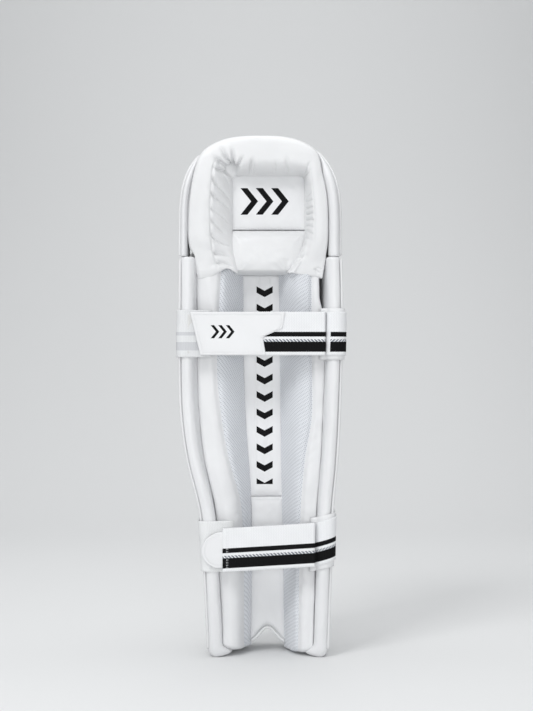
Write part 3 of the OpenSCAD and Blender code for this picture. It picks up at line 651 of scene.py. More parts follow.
def make_lining():
    # crease lines run up the lining, as the foam under it has folded to the shin
    x, y, z = channel_grid(PATCH_Z, 452, 150, 36, 2.6)
    for cx, a, w in ((-6.5, 0.9, 1.6), (6.0, 0.6, 1.3), (11.0, 0.5, 1.2)):
        crease = a * bump(x - 0.02 * (z - 300), cx, w) * smooth(188, 215, z)
        y = y + crease * (0.6 + 0.4 * noise2(z / 25, 0.0, int(abs(cx))))
    y = y + 5.0 * smooth(438, 452, z)
    front = np.stack([x, y, z], -1)
    back = front.copy()
    back[..., 1] = np.maximum(front[..., 1] + 3, 10)
    v, f = plate(front, back)
    build("centre_lining", v, f, M_LINING, ("shin", "knee", FLEX_FROM, (0, 0, 0.446)), "pu_cover",
          ["centre_lining"],
          uv=np.vstack([grid_uv(front)] * 2), pad=0.7)
    x, y, z = channel_grid(0, PATCH_Z - 0.6, 90, 36, 3.2, True)
    front = np.stack([x, y, z], -1)
    back = front.copy()
    back[..., 1] = inner_y(z, x) - 1
    v, f = plate(front, back)
    build("centre_patch", v, f, M_PU, "shin", "pu_cover", ["centre_patch", "centre_pad"],
          uv=np.vstack([grid_uv(front)] * 2), pad=0.8)
    zz = np.full(20, PATCH_Z - 3.2)
    xs = np.linspace(channel_l(PATCH_Z) + 1.5, channel_r(PATCH_Z) - 1.5, 20)
    y0 = np.interp(xs, x[-4], y[-4]) - 0.1
    v, f = stitches(np.stack([xs, y0, zz], 1), 2.2, 1.3, 0.28)
    build("patch_stitching", v, f, M_THREAD, "shin", "piping")
    # piping along the instep arch
    u = np.linspace(0.0, 1.0, 60)
    xb = mix(channel_l(0.0) - 0.5, channel_r(0.0) + 0.5, u)
    path = np.stack([xb, np.full(60, CH_Y + 0.6) - 1.6 * (1 - np.abs(2 * u - 1) ** 4),
                     lining_bottom(xb) - 0.6], 1)
    v, f = tube(resample(path, 1.5), 1.7, 10)
    build("instep_piping", v, f, M_PIPE, "shin", "piping", ["instep_piping"])


def chevron_column(net, x, z):
    """Plain bold chevrons in a column up the lining."""
    cx, half, pitch, w = 0.0035, 0.0095, 0.0205, 0.0056
    ax = net.math("ABSOLUTE", net.math("SUBTRACT", x, cx))
    zz = net.math("MULTIPLY", net.math("SUBTRACT", z, 0.19), 1 / pitch)
    f = net.math("FRACT", net.math("SUBTRACT", zz, net.math("MULTIPLY", ax, 0.55 / pitch)))
    on = net.math("LESS_THAN", f, w * 1.35 / pitch)
    on = net.math("MULTIPLY", on, net.math("LESS_THAN", ax, half))
    on = net.math("MULTIPLY", on, net.math("GREATER_THAN", z, 0.196))
    return net.math("MULTIPLY", on, net.math("LESS_THAN", z, 0.432))


M_LINING = printed(leather("pu_lining", PU, 0.45, 0.9, 0.6), chevron_column)
make_lining()


# ------------------------------------------------------------------ bolsters
def wing_inner(side, z, y):
    outer = edge(side, z) - side * (2 * WING_R + 2.7)
    front = seam(side, z) - side * WING_R
    rear = wing_rear(z) + WING_R
    s = np.clip((y - rear) / (SEAM_Y - rear), 0, 1)
    return mix(outer, front, s) - side * 0.5


def bolster_low(side, u):
    return (3.5 if side < 0 else 0.5) + 34 * np.abs(u - 0.5) ** 3.0


def bolster_surface(side, u, z):
    """Rear surface of a bolster; u runs from the wing to the channel."""
    draw = 7 * smooth(384, 418, z) if side > 0 else 0.0
    low = bolster_low(side, u)
    d = np.clip((z - low) / 9.0, 0, 1)
    lift = np.sqrt(np.clip(1 - (1 - d) ** 2, 0, 1))
    tuck = 1 - 0.45 * smooth(441, 453, z)
    y = 2 - (36 + 1.6 * smooth(395, 425, z)) * crown(u) * lift * tuck
    zc = np.minimum(z, KNEE_Z)
    outer = wing_inner(side, zc, np.minimum(y, SEAM_Y)) - side * (0.1 + draw)
    inner = channel_l(zc) if side < 0 else channel_r(zc)
    x = mix(outer, inner, u)
    return x, y


def make_bolster(side):
    word = "left" if side < 0 else "right"
    rows = 230
    ztop = 452.0
    t = np.linspace(0, 1, rows)[:, None]
    zz = t * ztop
    xa, _ = bolster_surface(side, np.zeros((rows, 1)), zz)
    xb, _ = bolster_surface(side, np.ones((rows, 1)), zz)
    xm = (mesh_l if side < 0 else mesh_r)(np.minimum(zz, KNEE_Z))
    m = np.clip((xm - xa) / (xb - xa), 0.05, 0.95)
    for part in ("cover", "mesh"):
        cols = 34
        q = np.linspace(0, 1, cols)[None, :]
        q = 0.5 - 0.5 * np.cos(q * math.pi)  # finer at the edges
        u = q * m if part == "cover" else mix(m, 1.0, q)
        low = bolster_low(side, u)
        z = mix(low, ztop, t)
        x, y = bolster_surface(side, u, z)
        # distance from the sewn boundary, across the bolster
        width = np.abs(xb - xa)
        gap = np.abs(u - m) * width
        y = y + 2.6 * np.exp(-(gap / 2.6) ** 2)
        front = np.stack([x, y, z], -1)
        pucker = np.exp(-(gap / 9.0) ** 2)
        wave = z / 7.3 * math.tau * 0.5 + 1.7 * noise2(z / 30, gap / 20, 5) * 3
        h = 0.55 * pucker * np.sin(wave) * (0.5 + 0.5 * noise2(z / 60, 0.0, 6))
        h = h + 0.9 * noise2(x / 26, z / 55, 11 + side) + 0.35 * noise2(x / 9, z / 14, 12 + side)
        if part == "cover":
            h = h + 0.5 * noise2(x / 14, z / 22, 31 + side) * smooth(0.0, 0.2, u)
        ends = np.clip((z - low) / 10, 0, 1) * np.clip((ztop - z) / 8, 0, 1)
        away = 1 - np.exp(-(gap / 1.5) ** 2)
        front = relief(front, side * h * ends * away)
        back = front.copy()
        back[..., 1] = np.maximum(front[..., 1] + 1.5, inner_y(np.minimum(z, KNEE_Z - 4), x) - 1.5)
        over = z > KNEE_Z - 4
        back[..., 1] = np.where(over, np.minimum(back[..., 1], 6.0), back[..., 1])
        if part == "cover":
            # the panel's sewn edge turns straight down at the boundary
            back[..., 0] = x
        a, b_ = (front, back) if side < 0 else (front[:, ::-1], back[:, ::-1])
        v, f = plate(a, b_)
        uv = np.vstack([grid_uv(a)] * 2)
        mat = M_PU if part == "cover" else M_MESH
        nodes = [f"bolster_{word}_{part}"] + ([f"bolster_{word}_core"] if part == "cover" else [])
        build(f"bolster_{word}_{part}", v, f, mat, ("shin", "knee", FLEX_FROM, (0, 0, 0.448)),
              "pu_cover" if part == "cover" else "mesh", nodes, uv=uv, pad=0.85)


make_bolster(-1)
make_bolster(1)


# ------------------------------------------------------------------ wings
def roll_centre(side, z):
    return edge(side, z) - side * (WING_R + 2.7), wing_rear(z) + WING_R


# how far the wing's lining swells inward at its foot, against depth
foot_swell = profile([[-46, 0], [-44, 2.6], [-40, 6.2], [-35, 9.0], [-26, 12.0], [-6, 14.5], [11, 16]])


def wing_outline(side, z, n=(14, 26, 22)):
    """Closed outline of a wing at height z, from its outer front round the rear edge to its inner front."""
    cx, cy = roll_centre(side, z)
    sx = seam(side, z)
    r = WING_R + 0.7
    f = WING_R + 0.2
    pts = []
    for t in np.linspace(0, 1, n[0], endpoint=False):
        y = mix(SEAM_Y + 3.4, cy, t)
        x = mix(sx + side * f, cx + side * r, t) + side * 0.9 * math.sin(math.pi * t)
        pts.append((x, y))
    low = 1 - float(smooth(4.5, 14, z))
    for a in np.linspace(0, 180, n[1]):
        x, y = cx + side * r * math.cos(math.radians(a)), cy - r * math.sin(math.radians(a))
        pts.append((x - side * low * float(foot_swell(y)) * max(0.0, (a - 90) / 90) ** 0.6, y))
    for t in np.linspace(0, 1, n[2] + 1)[1:]:
        y = mix(cy, SEAM_Y + 3.4, t)
        swell = float(foot_swell(y)) * low
        x = mix(cx - side * r, sx - side * f, t) - side * (0.8 * math.sin(math.pi * t) + swell)
        pts.append((x, y))
    return np.array(pts)


def make_wing(side):
    word = "left" if side < 0 else "right"
    top = WING_TOP
    zs = np.concatenate([[0.15, 0.9, 2.2, 4, 6.4, 9.2, 12.4], np.linspace(15, top - 5, 170),
                         [top - 2.6, top - 0.9, top + 0.3, top + 0.9]])
    rings = []
    for z in zs:
        p = wing_outline(side, float(z))
        # the ends close over like a stuffed sock
        k = math.sqrt(max(0.0, 1 - (1 - min(1, z / 9.5)) ** 2)) if z < 9.5 else 1.0
        kt = math.sqrt(max(0.0, 1 - (1 - min(1, (top + 1.2 - z) / 3.2)) ** 2))
        k = min(0.3 + 0.7 * k, 0.6 + 0.4 * kt)
        cx, cy = roll_centre(side, float(z))
        mid = mix(cx, seam(side, float(z)), np.clip((p[:, 1] - cy) / (SEAM_Y - cy), 0, 1))
        q = p.copy()
        q[:, 0] = mid + (p[:, 0] - mid) * k
        q[:, 1] = np.where(p[:, 1] < -25, p[:, 1] + (1 - k) * 7, p[:, 1])
        rings.append(np.column_stack([q, np.full(len(q), z)]))
    rings = np.array(rings)
    n = rings.shape[1]
    # soft waviness, and a groove on the outer rear corner where the piping is sewn in
    cx, cy = roll_centre(side, zs)
    ang = np.degrees(np.arctan2(-(rings[..., 1] - cy[:, None]), side * (rings[..., 0] - cx[:, None])))
    rear = rings[..., 1] < cy[:, None] + 4
    groove = 1.3 * np.exp(-((ang - 30) / 9.0) ** 2) * rear * (0.25 + 0.75 * smooth(50, 130, zs))[:, None]
    zz = rings[..., 2]
    s = np.arange(n)[None, :] / n
    h = 0.45 * noise2(s * 9, zz / 40, 21 + side) + 0.22 * noise2(s * 26, zz / 12, 22 + side)
    h = h - groove
    fade = np.clip(zz / 14, 0, 1) * np.clip((top - zz) / 8, 0, 1)
    centre = rings.mean(1, keepdims=True)
    nrm = np.roll(rings, -1, 1) - np.roll(rings, 1, 1)
    out = np.stack([nrm[..., 1], -nrm[..., 0], np.zeros_like(zz)], -1)
    out /= np.maximum(np.linalg.norm(out, axis=2, keepdims=True), 1e-9)
    sign = np.sign(((rings - centre) * out).sum(2).mean())
    rings = rings + out * sign * (h * fade)[..., None]
    rings[..., 2] = zz
    order = rings if side > 0 else rings[:, ::-1]
    v, f = loft(order)
    z_mid = 0.23
    sxm = seam(side, z_mid * 1000) * MM
    body = ("shin", f"wing_{word}", (sxm, 0.0115, z_mid), (sxm, -0.002, z_mid))
    build(f"wing_{word}", v, f, M_PU, body, "pu_cover", [f"wing_{word}_cover", f"wing_{word}_core"],
          uv=ring_uv(order, 2), pad=0.8)
    # piping sewn into the groove
    zp = np.linspace(9.5, top - 1.0, 200)
    cxp, cyp = roll_centre(side, zp)
    r = WING_R + 1.5
    path = np.stack([cxp + side * r * math.cos(math.radians(24)), cyp - r * math.sin(math.radians(24)), zp],
                    1)
    v, f = tube(path, 1.5, 10, 0.06, 4)
    build(f"wing_{word}_piping", v, f, M_PIPE, f"wing_{word}", "piping", [f"wing_{word}_piping"])


make_wing(-1)
make_wing(1)

# ------------------------------------------------------------------ knee section
KNEE_HALF, KNEE_D, KNEE_X, KNEE_EDGE = 77.0, 34.0, -1.5, 8.0


def knee_point(z, ang, h):
    a = np.radians(ang)
    x = KNEE_X + (KNEE_HALF + h) * np.cos(a)
    y = SEAM_Y + (KNEE_D + h) * np.sin(a)
    return np.stack(np.broadcast_arrays(x, y, z), -1)


def power(v, e):
    return np.sign(v) * np.abs(v) ** e


LEG_LOW = KNEE_Z + 3
CUP_RISE = 0.108 * H
PATCH_LOW = DOME_Z + 2.5


def horse_curve(k, centre, half, rise, feet, n):
    """Point on a horseshoe at k from 0 (left foot) to 1 (right foot)."""
    k = np.asarray(k, float)
    leg = 0.17
    tl = np.clip(k / leg, 0, 1)
    tr = np.clip((1 - k) / leg, 0, 1)
    a = np.radians(180 - 180 * np.clip((k - leg) / (1 - 2 * leg), 0, 1))
    x = centre + half * power(np.cos(a), 2 / n)
    z = DOME_Z + rise * power(np.sin(a), 2 / n)
    left = k < leg
    right = k > 1 - leg
    x = np.where(left, mix(feet[0], centre - half, np.sin(np.pi / 2 * tl)), x)
    z = np.where(left, mix(LEG_LOW, DOME_Z, tl), z)
    x = np.where(right, mix(feet[1], centre + half, np.sin(np.pi / 2 * tr)), x)
    z = np.where(right, mix(LEG_LOW, DOME_Z, tr), z)
    return x, z


def dome_share(a):
    """How far the horseshoe's outer edge has spread towards the dome's edge at arc angle a, in degrees."""
    return smooth(26, 58, np.minimum(a, 180 - np.asarray(a, float)))


def dome_edge(side, a, trim):
    """The spread edge: a strip of wing and its piping stays outside it."""
    return KNEE_X + side * (91.0 - trim) * np.abs(np.cos(np.radians(a))) ** (2 / DOME_N)


def horse_outer(k):
    k = np.asarray(k, float)
    x, z = horse_curve(k, -4, 80.8, H - DOME_Z + 0.2, [-72.8, 69.8], DOME_N)
    a = 180 - 180 * np.clip((k - 0.17) / 0.66, 0, 1)
    side = np.where(a > 90, -1, 1)
    return mix(x, dome_edge(side, a, 0.0), dome_share(a)), z


CUP_X, CUP_HALF, CUP_CORNER = 8.0, 42.0, 6.0


def cup_line():
    """The cup's edge from its left side, over the top, to its right side."""
    r, top = CUP_CORNER, DOME_Z + CUP_RISE
    a = np.radians(np.linspace(180, 90, 12))
    left = np.column_stack([CUP_X - CUP_HALF + r + r * np.cos(a), top - r + r * np.sin(a)])
    right = np.column_stack([2 * CUP_X - left[::-1, 0], left[::-1, 1]])
    pts = np.vstack([[CUP_X - CUP_HALF, DOME_Z], left, right, [CUP_X + CUP_HALF, DOME_Z]])
    return pts, np.concatenate([[0], np.cumsum(np.linalg.norm(np.diff(pts, axis=0), axis=1))])


def horse_inner(k):
    k = np.asarray(k, float)
    x, z = horse_curve(k, CUP_X, CUP_HALF, CUP_RISE, [-27, 29], 6)
    pts, dist = cup_line()
    q = np.clip((k - 0.17) / 0.66, 0, 1) * dist[-1]
    arc = (k >= 0.17) & (k <= 0.83)
    return np.where(arc, np.interp(q, dist, pts[:, 0]), x), np.where(arc, np.interp(q, dist, pts[:, 1]), z)


def creases(x, z, lines):
    """Sum of V creases: each line is x0, z0, angle, length, half width, depth."""
    h = np.zeros_like(x)
    for x0, z0, angle, length, width, depth in lines:
        c, s = math.cos(math.radians(angle)), math.sin(math.radians(angle))
        along = (x - x0) * c + (z - z0) * s
        off = -(x - x0) * s + (z - z0) * c
        w = width * (0.55 + 0.75 * np.clip(along / length, 0, 1))
        fade = smooth(-2.0, 1.5, along) * (1 - smooth(0.35 * length, length, along))
        h = h - depth * fade * np.exp(-np.abs(off / w) ** 1.5)
    return h


def make_horseshoe():
    rows, cols = 460, 76
    k = np.linspace(0, 1, rows)[:, None]
    u = (0.5 - 0.5 * np.cos(np.linspace(0, math.pi, cols)))[None, :]
    ox, oz = horse_outer(k)
    ix, iz = horse_inner(k)
    x, z = mix(ox, ix, u), mix(oz, iz, u)
    # the lower edges of the feet are cut to a curve
    low = 1 - np.clip((z - LEG_LOW) / 32, 0, 1)
    z = z + low**2 * np.where(k < 0.5, 7.5 * bump(u, 0.74, 0.22) - 5.0 * (1 - smooth(0.25, 0.5, u)),
                              3.0 * u - 4.0 * (1 - u))
    mid = np.stack([mix(ox, ix, 0.62), mix(oz, iz, 0.62)], -1)[:, 0]
    along = np.concatenate([[0], np.cumsum(np.linalg.norm(np.diff(mid, axis=0), axis=1))])[:, None]
    length = np.minimum(along, along[-1] - along)
    left = 1 - smooth(0.30, 0.42, k)
    right = smooth(0.62, 0.72, k)
    top = 1 - left - right
    # cross sections, as depth behind the board plane: the left leg has a sewn gusset on its inner half
    seam_u = mix(0.53, 0.40, smooth(0.16, 0.40, k))
    y_left = profile([[0, 40.5], [0.04, 43.4], [0.14, 44.9], [0.35, 45.6], [0.50, 44.2], [0.56, 42.4],
                      [0.75, 34.5], [0.93, 24.5], [1, 19]])
    y_top = profile([[0, 33], [0.03, 38], [0.10, 42], [0.26, 44.8], [0.55, 46], [0.74, 44.5], [0.88, 38],
                     [0.96, 29], [1, 19]])
    y_right = profile([[0, 40.5], [0.04, 43.4], [0.16, 45.2], [0.40, 46.3], [0.62, 43.8], [0.80, 36.5],
                       [0.93, 27], [1, 19]])
    y = -(left * y_left(u) + top * y_top(u) + right * y_right(u))
    # both legs get shallower towards their feet, and the cup less steep
    calm = 1 - smooth(0, 50, length)
    y = np.where(y < -35.5, mix(y, -35.5, 0.8 * calm), y)
    y = y - 8.0 * smooth(0.7, 1.0, u) * (1 - smooth(452, 498, z))
    on_left = smooth(0.012, 0.04, k) * left
    h = -1.5 * bump(u, seam_u, 0.020) * on_left
    # folds of the gusset: deep pockets at the seam that run down towards the patch
    t = np.clip((u - seam_u) / (1 - seam_u), 0, 1)
    gusset = smooth(0.0, 0.10, t) * (1 - smooth(0.86, 1.0, t))
    phase = (along + 13 * t) / 16.5 + 0.38 * noise2(along / 27, t * 1.3, 41) + 0.3
    cell = np.floor(phase)
    sag = 1 - np.abs(np.sin(phase * math.pi)) ** 0.55
    size = 0.75 + 0.35 * hashed(cell, 0 * cell, 42)
    reach = 0.62 + 0.38 * hashed(cell, 0 * cell + 3, 43)
    h = h - 7.0 * sag * gusset * on_left * size * np.clip(1.0 - t / (0.45 + 0.75 * reach), 0, 1)
    h = h + 0.7 * np.sin(phase * math.pi) ** 2 * gusset * on_left * (1 - t)
    # shallow puckers of the outer band along the same seam
    pucker = smooth(0.30, 0.52, u) * (1 - smooth(seam_u - 0.02, seam_u, u))
    h = h - 0.7 * (1 - np.abs(np.sin((along / 16.5 + 0.3) * math.pi)) ** 0.8) * pucker * on_left
    # right leg: finer gathers close to the patch, slanting down towards the wing
    t_r = np.clip((u - 0.60) / 0.40, 0, 1)
    phase_r = (along + 9 * t_r) / 8.6 + 0.25 * noise2(along / 16, t_r * 2, 45)
    zone_r = smooth(0.0, 0.25, t_r) * (1 - smooth(0.75, 1.0, t_r)) * bump(z, 508, 25)
    h = h - 2.5 * (1 - np.abs(np.sin(phase_r * math.pi)) ** 0.6) * zone_r * right
    h = h - 1.2 * bump(u, 0.60, 0.018) * right * smooth(470, 500, z)
    # pleats drawn into the corners of the patch
    h = h + creases(x, z, [(-31, 556, 62, 25, 1.9, 6.5), (-32, 556, 92, 33, 2.1, 9.5),
                           (-32, 556, 116, 37, 2.4, 10.5),
                           (-33, 555, 138, 34, 2.5, 10.0), (-33, 554, 160, 28, 2.4, 7.5),
                           (-14, 556, 76, 22, 1.7, 3.2), (-9, 556, 88, 15, 1.4, 2.0),
                           (30, 556, 94, 24, 1.6, 1.8),
                           (16, 556, 90, 16, 1.2, 1.0), (49, 556, 62, 18, 1.6, 1.8),
                           (49, 553, 40, 13, 1.3, 1.2),
                           (37, 458, 18, 19, 2.8, 3.2), (31, 449, 34, 14, 1.9, 2.0),
                           (-40, 452, 160, 12, 1.5, 1.2), (-34, 449, 150, 14, 1.4, 1.4),
                           (66, 442, 140, 9, 1.1, 1.8), (69, 446, 160, 8, 1.0, 1.4),
                           (64, 440, 110, 8, 1.0, 1.2)])
    h = h + 1.0 * noise2(x / 34, z / 34, 47) + 0.38 * noise2(x / 12, z / 12, 48)
    h = h * np.clip(np.minimum(u, 1 - u) * 12, 0, 1)
    # the feet flow on to the bolsters beneath
    foot = np.sqrt(np.clip(1 - (1 - np.clip(length / 9, 0, 1)) ** 2, 0, 1))
    base = np.maximum(y, -34.6)
    y = mix(base, y, foot)
    front = np.stack([x, y, z], -1)
    front = relief(front, h * (0.3 + 0.7 * foot))
    # keep the feet between the lower wings
    low_zone = 1 - smooth(WING_TOP - 1, WING_TOP + 12, front[..., 2])
    lim_l = wing_inner(-1, WING_TOP, np.minimum(front[..., 1], SEAM_Y)) + 0.2
    lim_r = wing_inner(1, WING_TOP, np.minimum(front[..., 1], SEAM_Y)) - 0.2
    fx = front[..., 0]
    front[..., 0] = mix(fx, np.clip(fx, lim_l, lim_r), low_zone)
    back = front.copy()
    back[..., 1] = np.clip(np.minimum(knee_board_y(x) - 2, 20), 4, None)
    back[..., 1] = np.maximum(back[..., 1], front[..., 1] + 4)
    back[..., 0] = np.clip(front[..., 0], np.where(z < WING_TOP + 3, -66.5, -84),
                           np.where(z < WING_TOP + 3, 66.5, 76.5))
    v, f = plate(front, back)
    build("horseshoe", v, f, M_PU_SOFT, "knee", "pu_cover", ["horseshoe_cover", "horseshoe_core"],
          uv=np.vstack([grid_uv(front)] * 2), pad=0.75)


make_horseshoe()


def inside(z, side):
    t = np.clip((z - LEG_LOW) / (DOME_Z - LEG_LOW), 0, 1)
    over = np.clip(z - (DOME_Z + CUP_RISE - CUP_CORNER), 0, CUP_CORNER)
    arc = CUP_HALF - CUP_CORNER + np.sqrt(CUP_CORNER**2 - over**2)
    if side < 0:
        return np.where(z < DOME_Z, mix(-27, CUP_X - CUP_HALF, np.sin(np.pi / 2 * t)), CUP_X - arc)
    return np.where(z < DOME_Z, mix(29, CUP_X + CUP_HALF, np.sin(np.pi / 2 * t)), CUP_X + arc)


def arrow_motif(cx, cz, size, count):
    """Mask of a row of plain bold chevrons that point along +X."""
    def mask(net, x, z):
        total = None
        az = net.math("ABSOLUTE", net.math("SUBTRACT", z, cz))
        tall = net.math("LESS_THAN", az, size)
        for k in range(count):
            edge_x = net.math("MULTIPLY_ADD", az, -0.8, cx + (k - (count - 1) / 2) * size * 1.15 + size * 0.5)
            gap = net.math("SUBTRACT", edge_x, x)
            on = net.math("MULTIPLY", net.math("GREATER_THAN", gap, 0.0),
                          net.math("LESS_THAN", gap, size * 0.52))
            total = on if total is None else net.math("MAXIMUM", total, on)
        return net.math("MULTIPLY", total, tall)
    return mask


M_PATCH = printed(leather("pu_patch", PU, 0.45, 0.9, 0.5), arrow_motif(0.006, 0.526, 0.0155, 3))


def make_knee_panels():
    for name, z0, z1, rise, mat, nodes in (
            ("knee_patch_panel", PATCH_LOW, DOME_Z + CUP_RISE + 1.5, 4.0, M_PATCH,
             ["knee_patch_panel", "knee_patch_foam"]),
            ("lower_knee_pad", LEG_LOW + 1, PATCH_LOW - 1, 17.0, M_PU_SOFT,
             ["lower_knee_pad_cover", "lower_knee_pad_core"])):
        rows, cols = 70, 90
        t = np.linspace(0, 1, rows)[:, None]
        u = np.linspace(0, 1, cols)[None, :]
        z = mix(z0, z1, t) + 0 * u
        x = mix(inside(z, -1) - 3.0, inside(z, 1) + 3.0, u)
        dome = ((1 - np.abs(2 * u - 1) ** 3.2) * (1 - np.abs(2 * t - 1) ** 3.0)) ** 0.6
        y = -15 - rise * dome
        if rise > 10:
            y = y - 9 * (1 - dome) * (1 - smooth(452, 490, z)) * smooth(0.0, 0.1, t)
        h = 0.6 * noise2(x / 16, z / 12, 51) + 0.3 * noise2(x / 6, z / 5, 52)
        if rise > 10:
            # gathers rise from the lower corners and side seams
            for cx, cz in ((-28, 442), (29, 442), (-33, 490), (48, 490)):
                ang = np.arctan2(z - cz, x - cx)
                dist = np.hypot(x - cx, z - cz)
                h = h - 1.3 * np.exp(-(dist / 15) ** 2) * (0.5 + 0.5 * np.sin(ang * 11 + cx))
        y = y - h * dome
        front = np.stack([x, y, z], -1)
        back = front.copy()
        back[..., 1] = 8
        v, f = plate(front, back)
        build(name, v, f, mat, "knee", "pu_cover", nodes, uv=np.vstack([grid_uv(front)] * 2), pad=0.7)
    # sewn line between the two panels
    xs = np.linspace(inside(PATCH_LOW, -1) + 2, inside(PATCH_LOW, 1) - 2, 30)
    v, f = stitches(np.stack([xs, np.full(30, -17.2), np.full(30, PATCH_LOW + 2.4)], 1), 2.4, 1.4, 0.3)
    build("panel_stitching", v, f, M_THREAD, "knee", "piping")


make_knee_panels()


def dome_half(z, half, rise):
    up = np.clip((z - DOME_Z) / rise, 0, 1)
    return np.where(z <= DOME_Z, half, half * np.clip(1 - up ** DOME_N, 0, 1) ** (1 / DOME_N))


def make_knee_front():
    pitch = 0.0535 * H
    first = KNEE_Z + 2
    rolls_top = first + 3 * pitch
    names = ["low", "middle", "high"]
    # knee rolls
    for i in range(3):
        cols = 90
        ang = np.linspace(180 - KNEE_EDGE + 2.5, KNEE_EDGE - 2.5, cols)
        aa = np.linspace(0, 180, 26)
        rings = []
        for c, a in enumerate(ang):
            endk = min(c, cols - 1 - c) / 7.0
            k = math.sqrt(max(0.0, 1 - (1 - min(1, endk + 0.08)) ** 2))
            half = (pitch / 2 + 0.1) * (0.8 + 0.2 * k)
            zc = first + (i + 0.5) * pitch
            hts = 0.2 + 12.5 * k * np.sin(np.radians(aa)) ** 0.85
            hts = hts + 0.4 * k * noise2(a / 7.0, aa / 40.0, 60 + i) * np.sin(np.radians(aa))
            off = -half * np.cos(np.radians(aa))
            q = knee_point(zc, np.full_like(aa, a), hts)
            q[:, 2] += off
            base = knee_point(zc, np.full(6, a), np.full(6, -0.5))
            base[:, 2] += np.linspace(half, -half, 8)[1:-1]
            rings.append(np.vstack([q, base]))
        rings = np.array(rings)
        v, f = loft(rings[:, ::-1])
        nodes = [f"knee_roll_{names[i]}"] + (["knee_roll_cores", "knee_board"] if i == 0 else [])
        build(f"knee_roll_{names[i]}", v, f, M_FRONT, "knee", "pu_cover", nodes,
              uv=ring_uv(rings[:, ::-1], 2), pad=0.95)
    # flat top panel with two padded fields
    rows, cols = 60, 90
    t = np.sin(np.linspace(0, math.pi / 2, rows))[:, None]
    z = mix(rolls_top + 0.5, H - 5.5, t)
    half = KNEE_HALF + 1.0
    rise = H - DOME_Z - 2.5
    e = np.maximum(KNEE_EDGE - 1.5, np.degrees(np.arccos(np.clip(dome_half(z, half, rise) / half, -1, 1))))
    ang = mix(180 - e, e, np.linspace(0, 1, cols)[None, :])
    q = np.linspace(-1, 1, cols)[None, :]
    puff = (1 - np.abs(q) ** 6) * (1 - np.abs(2 * np.linspace(0, 1, rows)[:, None] - 1) ** 6)
    hts = 3.5 + 5.5 * np.clip(puff, 0, 1) ** 0.5 + 0.5 * noise2(ang / 9, z / 14, 71)
    hts = hts - 1.6 * bump(q, -0.42, 0.014) - 1.6 * bump(q, 0.42, 0.014)
    front = knee_point(z, ang, hts)
    back = knee_point(z, ang, np.full_like(hts, -7.0))
    v, f = plate(front[:, ::-1], back[:, ::-1])
    build("top_panel", v, f, M_FRONT, "knee", "pu_cover", ["top_cover", "top_pad"],
          uv=np.vstack([grid_uv(front[:, ::-1])] * 2), pad=0.9)


make_knee_front()


def upper_end(side):
    """How far round the dome an upper wing runs, in degrees."""
    return 52 if side < 0 else 58


def upper_outer(side, t, r):
    t = np.asarray(t, float)
    a = np.radians(upper_end(side) * np.clip((t - 0.2) / 0.8, 0, 1))
    half = (CALF_L - 1.5 - r) if side < 0 else (CALF_R + 0.5 - r)
    x = KNEE_X + side * half * np.cos(a) ** (2 / DOME_N)
    z = DOME_Z + (H - DOME_Z - r) * np.sin(a) ** (2 / DOME_N)
    low = t < 0.2
    x = np.where(low, (-CALF_L + r) if side < 0 else (CALF_R - 1 - r), x)
    z = np.where(low, mix(WING_TOP + 1.6, DOME_Z, np.clip(t / 0.2, 0, 1)), z)
    return x, z


def upper_inner(side, t):
    t = np.asarray(t, float)
    deg = upper_end(side) * np.clip((t - 0.2) / 0.8, 0, 1)
    a = np.radians(deg)
    low = t < 0.2
    z = DOME_Z + (H - DOME_Z - 0.5 - smooth(18, 44, deg)) * np.sin(a) ** (2 / DOME_N)
    z = np.where(low, mix(WING_TOP + 1.6, DOME_Z, np.clip(t / 0.2, 0, 1)), z)
    near = np.where(low, -84.4 if side < 0 else 76.4, -4 + side * 80.3 * np.cos(a) ** (2 / DOME_N))
    return mix(near, dome_edge(side, deg, 0.7), dome_share(deg)) + side * 0.2, z


